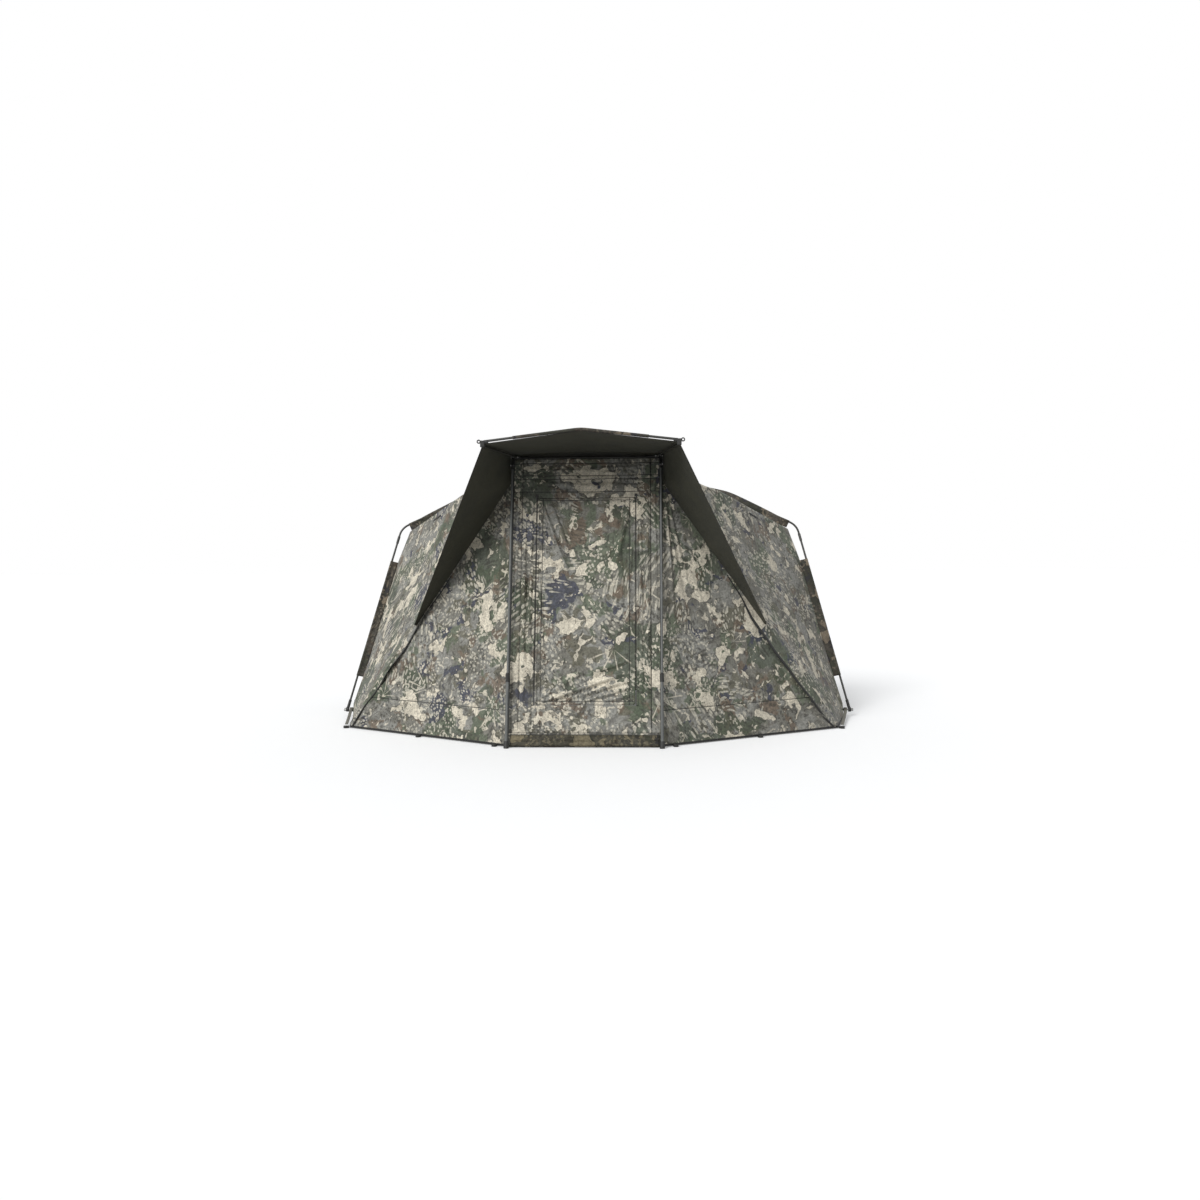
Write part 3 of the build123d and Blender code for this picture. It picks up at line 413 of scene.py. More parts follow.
def srgb(*levels):
    """A colour from 0 to 255 levels, in the linear values that a shader takes."""
    values = [level / 255 for level in levels]
    return tuple(v / 12.92 if v <= 0.04045 else ((v + 0.055) / 1.055) ** 2.4 for v in values) + (1.0,)


def new_group(name, inputs, outputs):
    group = bpy.data.node_groups.new(name, "ShaderNodeTree")
    for label, kind, value in inputs:
        socket = group.interface.new_socket(name=label, in_out="INPUT", socket_type=kind)
        if value is not None:
            socket.default_value = value
    for label, kind in outputs:
        group.interface.new_socket(name=label, in_out="OUTPUT", socket_type=kind)
    tree = Tree(group)
    return group, tree, tree.add("NodeGroupInput"), tree.add("NodeGroupOutput")


# %% The print
INK = {
    "taupe": srgb(118, 116, 107), "pale grey": srgb(141, 140, 133), "green": srgb(95, 103, 84),
    "deep green": srgb(70, 80, 62), "olive": srgb(100, 97, 81), "brown": srgb(113, 99, 84),
    "slate": srgb(66, 68, 80), "cream": srgb(212, 204, 185), "bark": srgb(62, 60, 54),
    "twig": srgb(193, 188, 172),
}


def camouflage():
    group, t, source, sink = new_group(
        "camouflage print",
        [("Place", "NodeSocketVector", None), ("Patch Size", "NodeSocketFloat", 0.17)],
        [("Color", "NodeSocketColor")])
    place = t.scaled(source.outputs["Place"], 0.76)
    per_metre = t.math("DIVIDE", 1.0, source.outputs["Patch Size"])

    def warped(scale, reach, detail=1.0):
        """The place, pushed about by a coloured noise."""
        push = t.add("ShaderNodeTexNoise", {"Vector": place, "Scale": scale, "Detail": detail, "Roughness": 0.6})
        either_way = t.vector("SUBTRACT", push.outputs["Color"], (0.5, 0.5, 0.5))
        return t.vector("ADD", place, t.scaled(either_way, reach))

    curled = warped(16.0, 0.085, 2.0)
    bent = warped(9.0, 0.11, 3.0)

    def layer(seed, scale, low, high, amount=1.0):
        """Blotches with curled edges."""
        moved = t.vector("ADD", curled, (seed * 3.7, seed * 1.9, seed * 5.3))
        blotch = t.step(t.noise(moved, t.times(per_metre, scale), 3.0, 0.55, 0.3), low, high)
        return t.times(blotch, amount)

    def horned(seed, scale, bites, low):
        """Patches with round bites taken out of them, which leaves points like a leaf's."""
        moved = t.vector("ADD", bent, (seed, seed * 0.7, seed * 1.3))
        body = t.step(t.noise(moved, scale, 1.5, 0.5), low, low + 0.006)
        round_bites = t.add("ShaderNodeTexVoronoi", {"Vector": moved, "Scale": bites, "Randomness": 1.0})
        return t.times(body, t.step(round_bites.outputs["Distance"], 0.40, 0.42))

    def dashes(seed, stretch, reach, scale):
        """Thin marks that lie in a different direction in each cell."""
        moved = t.vector("ADD", bent, (seed, seed, seed))
        cells = t.add("ShaderNodeTexVoronoi", {"Vector": moved, "Scale": scale})
        turned = t.add("ShaderNodeVectorRotate", {"Vector": warped(5.0, 0.07)}, rotation_type="EULER_XYZ")
        t.link(t.scaled(cells.outputs["Color"], 6.28), turned.inputs["Rotation"])
        drawn_out = t.vector("MULTIPLY", turned.outputs[0], stretch)
        marks = t.add("ShaderNodeTexVoronoi", {"Vector": drawn_out, "Scale": 1.0})
        return t.step(marks.outputs["Distance"], reach, reach * 0.8)

    def where(seed, scale, low, high):
        """The stretches of cloth that a mark is kept to."""
        return t.step(t.noise(t.vector("ADD", bent, (seed, seed, seed)), scale, 1.0), low, high)

    def inked(share, ink, strength=None):
        """The colour so far, with an ink over it where share is 1."""
        return t.mix(share if strength is None else t.times(share, strength), color, INK[ink])

    color = INK["taupe"]
    for seed, scale, low, high, amount, ink in (
            (1, 1.3, 0.42, 0.56, 1.0, "pale grey"), (2, 1.0, 0.55, 0.58, 0.85, "green"),
            (4, 1.6, 0.57, 0.60, 0.8, "olive"), (5, 1.7, 0.585, 0.62, 0.85, "brown")):
        color = inked(layer(seed, scale, low, high, amount), ink)
    color = inked(horned(6.0, 4.0, 4.5, 0.55), "deep green", 0.7)
    color = inked(layer(8, 1.3, 0.615, 0.635, 0.9), "slate")
    for streaks, kept_to, ink, strength in (
            ((4.0, (11.0, 75.0, 75.0), 0.42, 5.0), (3.0, 6.0, 0.45, 0.50), "bark", 0.62),
            ((7.0, (10.0, 80.0, 80.0), 0.42, 4.0), (5.0, 5.0, 0.47, 0.52), "twig", 0.85)):
        color = inked(t.times(dashes(*streaks), where(*kept_to)), ink, strength)
    rim = t.math("MAXIMUM", horned(9.0, 7.5, 13.0, 0.612), horned(2.0, 11.0, 24.0, 0.602))
    color = inked(rim, "bark", 0.45)
    solid = t.math("MAXIMUM", horned(9.0, 7.5, 13.0, 0.635), horned(2.0, 11.0, 24.0, 0.625))
    veins = t.times(dashes(1.0, (22.0, 120.0, 120.0), 0.30, 8.0), 0.45)
    color = t.mix(solid, color, t.mix(veins, INK["cream"], INK["brown"]))
    stars = t.add("ShaderNodeTexVoronoi", {"Vector": place, "Scale": 4.6, "Randomness": 1.0})
    ray = t.add("ShaderNodeSeparateXYZ", {0: t.vector("SUBTRACT", place, stars.outputs["Position"])})
    angle = t.math("ARCTAN2", ray.outputs[2], ray.outputs[0])
    chance = t.add("ShaderNodeSeparateColor", {0: stars.outputs["Color"]})
    turns = t.math("MULTIPLY_ADD", angle, 9.0, t.times(chance.outputs[0], 40.0))
    spokes = t.step(t.math("SINE", turns), 0.90, 0.97)
    fan = t.step(t.math("SINE", t.math("MULTIPLY_ADD", chance.outputs[1], 6.28, angle)), 0.1, 0.3)
    far = stars.outputs["Distance"]
    reach = t.times(t.step(far, 0.10, 0.14), t.step(far, 0.46, 0.40))
    spokes = t.times(t.times(spokes, reach), t.times(fan, t.step(chance.outputs[2], 0.60, 0.61)))
    color = inked(spokes, "cream", 0.8)
    color = inked(t.step(t.noise(curled, 30.0, 2.0, 0.6), 0.62, 0.64), "cream", 0.8)
    color = inked(t.step(t.noise(bent, 42.0, 2.0, 0.6), 0.635, 0.66), "bark", 0.6)
    mottle = t.step(t.noise(place, 120.0, 3.0, 0.7), 0.36, 0.64)
    cloudy = t.step(t.noise(place, 26.0, 3.0, 0.6), 0.35, 0.65)
    for share, darker, paler in ((mottle, 0.70, 1.12), (cloudy, 0.84, 1.10)):
        shade = t.mix(share, (darker,) * 3 + (1.0,), (paler,) * 3 + (1.0,))
        color = t.mix(1.0, color, shade, "MULTIPLY")
    t.link(color, sink.inputs["Color"])
    return group


camo = camouflage()
print("the print has", len(camo.nodes), "nodes")


# %% The weave
def plain_weave():
    group, t, source, sink = new_group(
        "plain weave", [("Place", "NodeSocketVector", None), ("Pitch", "NodeSocketFloat", 0.0011)],
        [("Height", "NodeSocketFloat")])
    turns = t.math("DIVIDE", 2 * pi, source.outputs["Pitch"])
    parts = t.add("ShaderNodeSeparateXYZ", {0: source.outputs["Place"]})
    warp = t.math("SINE", t.times(parts.outputs[0], turns))
    weft = t.math("SINE", t.times(parts.outputs[1], turns))
    t.link(t.times(warp, weft), sink.inputs["Height"])
    return group


weave = plain_weave()


# %% [markdown]
# ## Finishes
# Coated polyester is matt, with soft crumples at hand size. The walls are printed, the sleeves are
# cut from a browner run of the same print, and the bare olive side shows inside the peak. Tube is
# powder coated, so it is a dull black that is rubbed paler in places.

# %% Cloth and hard finishes
def new_material(name, **values):
    """A material whose constant values sit on the shader's own sockets."""
    material = bpy.data.materials.new(name)
    material.use_nodes = True
    shader = material.node_tree.nodes["Principled BSDF"]
    for label, value in values.items():
        shader.inputs[label.replace("_", " ")].default_value = value
    return material, Tree(material.node_tree), shader


def cloth_relief(t, shader, at, pitch, crumple):
    thread = t.add("ShaderNodeUVMap", uv_map="UVMap").outputs[0]
    woven = t.add("ShaderNodeGroup", {"Place": thread, "Pitch": pitch}, node_tree=weave)
    fine = t.add("ShaderNodeBump", {"Strength": 0.25, "Distance": 0.0003, "Height": woven.outputs["Height"]})
    lumps = t.noise(at, 26.0, 3.0, 0.5, 0.8)
    soft = t.add("ShaderNodeBump", {"Strength": crumple, "Distance": 0.008, "Height": lumps,
                                    "Normal": fine.outputs[0]})
    t.link(soft.outputs[0], shader.inputs["Normal"])


def printed_cloth(name, tint, patch=0.17):
    material, t, shader = new_material(name, Roughness=0.8, Sheen_Weight=0.05)
    at = t.add("ShaderNodeAttribute", attribute_name="cloth_at").outputs["Vector"]
    printed = t.add("ShaderNodeGroup", {"Place": at, "Patch Size": patch}, node_tree=camo)
    t.link(t.mix(1.0, printed.outputs["Color"], tint, "MULTIPLY"), shader.inputs["Base Color"])
    t.link(t.math("MULTIPLY_ADD", t.noise(at, 3.0, 3.0, 0.6), 0.14, 0.72), shader.inputs["Roughness"])
    cloth_relief(t, shader, at, 0.0011, 0.55)
    return material


def plain_cloth(name, color, other, pitch=0.0011):
    material, t, shader = new_material(name, Roughness=0.72, Sheen_Weight=0.05)
    at = t.add("ShaderNodeAttribute", attribute_name="cloth_at").outputs["Vector"]
    uneven = t.step(t.noise(at, 9.0, 3.0, 0.6), 0.35, 0.7)
    t.link(t.mix(uneven, color, other), shader.inputs["Base Color"])
    cloth_relief(t, shader, at, pitch, 0.25)
    return material


def hard_finish(name, color, rubbed, roughness, metallic=0.0):
    material, t, shader = new_material(name, Roughness=roughness, Metallic=metallic)
    at = t.add("ShaderNodeTexCoord").outputs["Object"]
    patchy = t.times(t.step(t.noise(at, 18.0, 4.0, 0.65), 0.50, 0.72), 0.5)
    t.link(t.mix(patchy, color, rubbed), shader.inputs["Base Color"])
    t.link(t.math("MULTIPLY_ADD", t.noise(at, 60.0, 3.0), 0.2, roughness - 0.1), shader.inputs["Roughness"])
    pitted = t.add("ShaderNodeBump", {"Strength": 0.2, "Distance": 0.0004, "Height": t.noise(at, 1200.0, 2.0)})
    t.link(pitted.outputs[0], shader.inputs["Normal"])
    return material


camo_cloth = printed_cloth("camo cloth", (1.0, 1.0, 1.0, 1.0))
sleeve_cloth = printed_cloth("sleeve cloth", (0.27, 0.24, 0.21, 1.0), 0.09)
sill_cloth = printed_cloth("threshold cloth", (0.26, 0.24, 0.18, 1.0), 0.08)
lining = plain_cloth("olive lining", srgb(52, 51, 36), srgb(44, 44, 32))
# black tape: real binding on hems and edges, and painted shade where seams, flap edges and the gaps beside the
# poles are drawn in it
black_tape_and_shade = plain_cloth("black tape and painted shade", srgb(30, 30, 27), srgb(22, 22, 20), 0.0024)
webbing = plain_cloth("webbing", srgb(104, 101, 90), srgb(80, 78, 70), 0.0032)
finishes = {
    "rib_tube": hard_finish("black coated tube", srgb(40, 40, 36), srgb(66, 65, 58), 0.45),
    "pole_tube": hard_finish("grey coated tube", srgb(84, 86, 84), srgb(118, 120, 117), 0.42),
    "moulding": hard_finish("black moulding", srgb(28, 28, 26), srgb(46, 46, 43), 0.6),
    "steel_pin": hard_finish("plain steel", srgb(140, 140, 138), srgb(110, 108, 104), 0.35, 1.0),
    "zip": hard_finish("black zip", srgb(34, 33, 29), srgb(52, 50, 44), 0.5),
    "webbing": webbing, "sleeve_cloth": sleeve_cloth, "camo_cloth": camo_cloth,
}
slot_of = {entry["node"]: entry["material_slot"] for entry in frame["record"]["subparts"]}
for node, piece in frame["nodes"].items():
    piece.data.materials.clear()
    piece.data.materials.append(finishes[slot_of[node]])
print("finishes:", ", ".join(finishes))

# %% [markdown]
# ## The front wall
# The middle wall leans back between the storm poles. It is one sheet with its door left out, so
# its creases run on round the opening. A seam is a sunk row of black tape between two close rows;
# the tape is partly the stitching and partly a painted shadow line.

# %% The middle wall
DOOR_SLOT = 0.2555  # half the width of the hole that the door and its zips fill
DOOR_LOW, DOOR_HIGH = up_wall(0.204), up_wall(1.251)
WALL_HIGH = up_wall(1.459)
WALL_SIDE = WALL_HALF - 0.0015
FLAP_EDGE = 0.334
SEAM_HALF, SEAM_GAP, SEAM_DEEP = 0.0016, 0.0035, 0.0016
SILL_SEAM = up_wall(0.068)
HEADER_SEAMS = [up_wall(z) for z in (1.285, 1.352, 1.371, 1.436)]


def wall_grid(xs, ups):
    return np.array([[on_wall(x, up) for x in xs] for up in ups])


def wall_point(x, z):
    return on_wall(x, up_wall(z))


def with_seams(values, seams):
    """Row or column places, with two close lines each side of every seam."""
    values = [v for v in values if all(abs(v - s) > SEAM_GAP + 0.004 for s in seams)]
    for s in seams:
        values += [s - SEAM_GAP, s - SEAM_HALF, s + SEAM_HALF, s + SEAM_GAP]
    return np.array(sorted(values))


def from_seam(values, seams):
    return np.min(np.abs(values[:, None] - np.asarray(seams)[None, :]), axis=1)


def on_seam(values, seams):
    """Which gaps between neighbouring values are the seams themselves."""
    return from_seam((values[:-1] + values[1:]) / 2, seams) < SEAM_HALF


def sink(values, seams, depth=SEAM_DEEP):
    return -depth * (from_seam(values, seams) < SEAM_HALF * 1.1)


# each fold: where it starts, where it ends (across, high), how wide and how tall it is
JAMB_FOLDS = [
    (0.352, 1.41, 0.366, 0.40, 0.011, 0.007), (0.318, 1.30, 0.312, 0.12, 0.012, 0.009),
    (0.280, 1.26, 0.288, 0.15, 0.011, 0.008), (0.270, 1.00, 0.322, 0.62, 0.012, -0.008),
    (0.325, 0.58, 0.275, 0.22, 0.012, 0.007), (0.22, 0.19, 0.06, 0.04, 0.018, -0.008),
    (0.30, 0.04, 0.18, 0.18, 0.016, 0.007),
]
HEADER_FOLDS = [
    (-0.30, 1.405, 0.22, 1.380, 0.012, 0.008), (0.30, 1.415, -0.12, 1.400, 0.011, 0.007),
    (-0.28, 1.335, 0.10, 1.305, 0.013, 0.007), (0.29, 1.325, -0.02, 1.345, 0.013, -0.006),
    (-0.20, 1.275, 0.24, 1.268, 0.009, 0.005),
]
side_columns = with_seams(np.linspace(DOOR_SLOT + 0.002, WALL_SIDE - 0.007, 26), [FLAP_EDGE])
side_columns = np.append(side_columns, WALL_SIDE)
columns = np.concatenate([-side_columns[::-1], np.linspace(-DOOR_SLOT, DOOR_SLOT, 71), side_columns])
low_rows = with_seams(np.linspace(0, DOOR_LOW - 0.002, 21), [SILL_SEAM])
high_rows = with_seams(np.linspace(DOOR_HIGH + 0.0015, WALL_HIGH, 40), HEADER_SEAMS)
rows = np.concatenate([low_rows, np.linspace(DOOR_LOW, DOOR_HIGH, 140), high_rows])
out = np.abs(columns)
wall = wall_grid(columns, rows)
folds = [fold for side in (-1, 1) for fold in fold_rows(JAMB_FOLDS, wall_point, side)]
folds += fold_rows(HEADER_FOLDS, wall_point)
lift = creases(wall, folds) + 0.0016 * rumple(wall, 0.10, 1)
lift = lift * fade(wall, 0.03, 0.03, 0.015, 0.015)
lift += sink(rows, HEADER_SEAMS + [SILL_SEAM])[:, None]
lift += sink(out, [FLAP_EDGE], 0.003)[None, :] * (rows > 0.1)[:, None]
on_flap = (out < FLAP_EDGE - 0.001) & (out > DOOR_SLOT + 0.012)
lift += (0.0050 * (1 + 0.8 * rumple(wall, 0.10, 8, (3, 1, 0.5)))) * on_flap[None, :]
wall = wall + normals_of(wall) * lift[..., None]
keep = np.ones((len(rows) - 1, len(columns) - 1), bool)
beside = (columns[:-1] > -DOOR_SLOT - 0.004) & (columns[1:] < DOOR_SLOT + 0.004)
keep[np.ix_((rows[:-1] > DOOR_LOW - 0.003) & (rows[1:] < DOOR_HIGH + 0.002), beside)] = False
# Black tape in the outermost columns, beside the poles, is painted shade: the dark gap between the wall and each
# pole. The tape along the jamb flaps' free edges is partly the stitched edge and partly a painted shadow line.
bound = tape_and_shade_faces(wall, columns=[0, -1]) | on_seam(rows, HEADER_SEAMS + [SILL_SEAM])[:, None]
bound |= on_seam(out, [FLAP_EDGE])[None, :] & (rows[1:] > 0.1)[:, None]
front_wall = cloth_sheet("front_wall", wall, camo_cloth, lining, black_tape_and_shade, bound, keep)
fit(front_wall,
    ["front_jamb_left", "front_jamb_right", "front_header", "front_sill"], body="front")

# %% The door
DOOR_HALF = 0.249
DOOR_SEAMS, DOOR_SIDE_SEAM = [up_wall(0.222), up_wall(1.240)], 0.225
DOOR_FOLDS = [
    (-0.240, 1.245, -0.085, 0.840, 0.016, 0.019), (-0.180, 1.248, -0.060, 0.960, 0.014, -0.014),
    (-0.240, 1.150, -0.150, 0.780, 0.012, 0.007), (0.230, 1.245, 0.150, 0.900, 0.015, 0.015),
    (0.245, 1.140, 0.205, 0.540, 0.013, 0.009), (0.190, 1.000, 0.215, 0.480, 0.012, -0.007),
    (-0.243, 0.900, -0.205, 0.260, 0.012, 0.008), (-0.210, 0.620, -0.235, 0.230, 0.011, -0.007),
    (-0.240, 0.209, 0.240, 0.372, 0.015, 0.013), (-0.170, 0.207, 0.246, 0.334, 0.014, 0.012),
    (-0.040, 0.208, 0.246, 0.300, 0.012, 0.011), (0.060, 0.208, 0.246, 0.262, 0.011, 0.009),
    (-0.244, 0.225, 0.040, 0.400, 0.016, 0.008), (0.244, 0.420, 0.020, 0.330, 0.014, -0.008),
]
door_columns = with_seams(np.linspace(-DOOR_HALF, DOOR_HALF, 98), [-DOOR_SIDE_SEAM, DOOR_SIDE_SEAM])
door_rows = with_seams(np.linspace(DOOR_LOW, DOOR_HIGH - 0.001, 200), DOOR_SEAMS)
out = np.abs(door_columns)
door = wall_grid(door_columns, door_rows)
lift = creases(door, fold_rows(DOOR_FOLDS, wall_point))
lift = lift + 0.0050 * rumple(door, 0.16, 3, (1, 1, 0.5)) + 0.0022 * rumple(door, 0.05, 4)
lift = lift * fade(door, 0.03, 0.03, 0.02, 0.02) + 0.006 * belly(door)
lift += sink(door_rows, DOOR_SEAMS)[:, None] + sink(out, [DOOR_SIDE_SEAM])[None, :]
door = door + normals_of(door) * lift[..., None]
# The seam rows and columns are black tape, partly the stitching and partly painted shadow lines.
bound = on_seam(door_rows, DOOR_SEAMS)[:, None] | on_seam(out, [DOOR_SIDE_SEAM])[None, :]
door_cloth = cloth_sheet("door_cloth", door, camo_cloth, lining, black_tape_and_shade, bound)
fit(door_cloth, ["door_panel"], body="door")

# %% [markdown]
# ## The front side walls
# Each side wall is a triangle from the pole to the ground corner. Its lower strip is sewn on, and
# its seam is black tape, partly the stitching and partly a painted shadow line. A flap with a black
# edge covers the corner zip; the edge is partly binding and partly the painted shadow under the
# flap. The flap hangs wavy, because only one edge of it is sewn. The same lines make the left and
# the right side, and the left one is then mirrored.

# %% The side walls and their corner flaps
SKIRT = 0.177
SIDE_TOP, POLE_FOOT = (0.405, -0.80, 1.30), (0.392, -1.139, 0.0)
SIDE_FOLDS = [
    (*SIDE_TOP, 0.62, -0.90, 0.50, 0.018, 0.011), (*SIDE_TOP, 0.47, -0.98, 0.45, 0.015, 0.010),
    (*SIDE_TOP, 0.54, -0.93, 0.62, 0.013, -0.008), (0.41, -1.02, 0.60, 0.60, -0.95, 0.30, 0.015, 0.008),
    (0.40, -1.04, 0.42, 0.56, -0.99, 0.20, 0.014, 0.007), (*POLE_FOOT, 0.60, -0.99, 0.34, 0.016, 0.009),
    (1.30, -0.53, 0.02, 0.90, -0.75, 0.22, 0.020, 0.010), (1.30, -0.53, 0.04, 0.98, -0.68, 0.34, 0.018, 0.010),
    (1.27, -0.54, 0.08, 0.86, -0.74, 0.40, 0.016, -0.008), (0.72, -1.0, 0.0, 0.66, -0.95, 0.17, 0.02, 0.008),
    (1.05, -0.8, 0.0, 1.0, -0.76, 0.17, 0.018, 0.008),
]


def side_wall(side, seed):
    marks = np.linspace(0, 1, 200)
    pole_high = [between(wall_corner, seam_top, s)[2] for s in marks]
    rows = with_seams(np.linspace(0.004, seam_top[2] - 0.002, 130), [SKIRT])
    shares = edge_shares(92, 0.008)
    pole_shares = np.interp(rows, pole_high, np.arange(200)) / 199
    grid = []
    for z, s in zip(rows, pole_shares):
        at_pole = between(wall_corner, seam_top, s) + arr(CLOTH, 0, 0)
        at_zip = between(ground_corner, seam_top, z / seam_top[2])
        grid.append([between(at_pole, at_zip, u) for u in shares])
    grid = np.array(grid)
    lift = creases(grid, fold_rows(SIDE_FOLDS))
    lift = lift + 0.0050 * rumple(grid, 0.20, seed) + 0.0022 * rumple(grid, 0.06, seed + 1)
    lift = lift * fade(grid, 0.03, 0.02, 0.02, 0.02) - 0.010 * belly(grid)
    lift += sink(rows, [SKIRT])[:, None]
    grid = grid + normals_of(grid) * lift[..., None]
    # The skirt's seam row is black tape, partly the stitching and partly a painted shadow line.
    bound = tape_and_shade_faces(grid, rows=[0]) | on_seam(rows, [SKIRT])[:, None]
    name = side_name(side)
    wall = cloth_sheet("side_wall_" + name, to_side(side, grid), camo_cloth, lining, black_tape_and_shade, bound)
    fit(wall, ["front_side_" + name], body="front")


for side, seed in ((-1, 11), (1, 14)):
    side_wall(side, seed)


FLAP_ROOT = 0.014  # how wide a flap is where it starts
FLAP_SEWN = 0.012  # how far it reaches past the diagonal seam, under the peak's edge


def corner_flap(side, reach, wave, phase):
    """A strip beside the diagonal seam: its outer edge is sewn, and its free edge waves."""
    start, end = between(seam_top, ground_corner, 0.36), between(seam_top, ground_corner, 0.985)
    inward = unit(np.cross(unit(end - start), side_out))
    inward = inward * -np.sign(inward[0])
    grid = []
    for u in np.linspace(0, 1, 150):
        swell = sin(pi * min(1, u * 1.6) / 2) ** 0.8 * (1 - 0.75 * max(0, (u - 0.62) / 0.38) ** 1.5)
        width = FLAP_ROOT + (reach - FLAP_ROOT) * swell
        width = width + wave * sin(26 * u + phase) * swell * 0.5 + wave * sin(11 * u + 2 * phase) * swell
        row = []
        # The last quarter of the width is the black edge, drawn wider than a binding: partly binding, partly the
        # painted shadow under the free edge.
        for v in np.concatenate([np.linspace(0, 0.76, 9), [1.0]]):
            lifted = 0.003 + 0.013 * v * v * swell * (1 + 0.8 * sin(19 * u + 3 * phase))
            across = between(start, end, u) - inward * FLAP_SEWN + inward * (width + FLAP_SEWN) * v
            row.append(across + side_out * lifted)
        grid.append(row)
    grid = np.array(grid)
    name, bound = side_name(side), tape_and_shade_faces(grid, columns=[-1])
    flap = cloth_sheet("corner_flap_" + name, to_side(side, grid), camo_cloth, lining, black_tape_and_shade, bound,
                       thick=0.0016)
    return fit(flap, body="front")


corner_flap(-1, 0.028, 0.005, 1.0)
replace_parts(corner_flap(1, 0.067, 0.009, 2.0), "corner_zip_flaps")

# %% [markdown]
# ## The canopy
# The canopy is in four sheets that meet at the centre rib and along the eaves: the front bay's
# roof, its two sides, and one sheet for the whole back.

# %% The front bay
# The eave is cut hollow. It dips along a line that changes neither sheet's share of the fold.
eave_way = unit(arr(0.2275, -0.2306, -0.7585))


def eave_dip(share):
    """How far the eave dips, from the front corner to the rib."""
    wide = 0.020 * np.sin(pi * np.clip(share, 0, 1) ** 0.82)
    return wide + 0.044 * np.exp(-((share - 0.22) / 0.14) ** 2) * (1 - np.exp(-(share / 0.03) ** 2))


NOTCH = [arr(1.449, -0.0609, 0.0), arr(1.445, -0.0609, 0.080)]
CLOTH_LINE = [(1.490 - 0.236 * out - 0.0412, out) for out in (0.33, 0.66, 0.93)]
CLOTH_ARCH = [(1.167, 1.116), (0.7906, 1.2993), (0.3939, 1.3925), (0.0, 1.4221)]
AHEAD, BEHIND = arr(0, -0.0009, 0), arr(0, 0.0009, 0)
arch_counts = [18, 18, 18]
rib_points, counts = whole([on_rib(CENTRE_LEAN, *p) + AHEAD for p in CLOTH_ARCH], arch_counts)
rib_edge = rounded(rib_points, [0, 0.42, 0.42, 0.42, 0.42, 0.42, 0], counts)
front_points, counts = whole([
    arr((WALL_HALF + WALL_OUT) * c, wall_back(ROOF_HIGH) + POLE_LINE, ROOF_HIGH + ARCH_RISE * (1 - c * c))
    for c in (1.0, 0.66, 0.33, 0.0)], arch_counts)
front_edge = rounded(front_points, [0, 0.3, 0.3, 0.3, 0.3, 0.3, 0], counts)
shares = edge_shares(64, 0.006)
roof = np.array([between(front_edge, rib_edge, s) for s in shares])
dip = eave_dip(shares)[:, None]
for side, reach in ((1, np.linspace(0, 1, len(front_edge))), (-1, np.linspace(1, 0, len(front_edge)))):
    near = np.cos(pi / 2 * np.clip(reach / 0.46, 0, 1)) ** 1.5
    roof = roof + (dip * near)[..., None] * to_side(side, eave_way)
ROOF_FOLDS = [
    (*roof_corner, 0.75, -0.15, 1.33, 0.022, 0.008), (*roof_corner, 0.95, -0.10, 1.22, 0.022, -0.007),
    (*roof_corner, 0.55, -0.10, 1.40, 0.020, 0.006), (1.15, 0.27, 1.10, 0.8, -0.2, 1.30, 0.03, 0.007),
]
roof_folds = [fold for side in (-1, 1) for fold in fold_rows(ROOF_FOLDS, side=side)]
roof = slacken(roof, 0.036, roof_folds, 0.004, 0.25, 21, (0.05, 0.05, 0.03, 0.03))
canopy_roof = cloth_sheet("canopy_roof", roof, camo_cloth, lining)
fit(canopy_roof, ["cabin_roof_front"])
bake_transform(canopy_roof)

BAY_FOLDS = [
    (*roof_corner, 1.10, -0.20, 0.85, 0.024, 0.013), (*roof_corner, 0.95, -0.35, 0.75, 0.022, -0.006),
    (*roof_corner, 1.15, 0.0, 1.02, 0.022, 0.011), (*roof_corner, 0.98, -0.30, 0.98, 0.018, 0.009),
    (*ground_corner, 1.25, -0.25, 0.55, 0.025, 0.011), (*ground_corner, 1.38, -0.22, 0.35, 0.02, -0.005),
    (1.44, -0.06, 0.05, 1.30, -0.28, 0.50, 0.025, 0.010), (1.33, -0.20, 0.62, 1.0, -0.45, 0.55, 0.020, 0.008),
]
TAB_ROW, TAB_COLUMNS = -4, slice(36, 41)  # where on the side's grid the eave's tab lies
eave_tabs = []


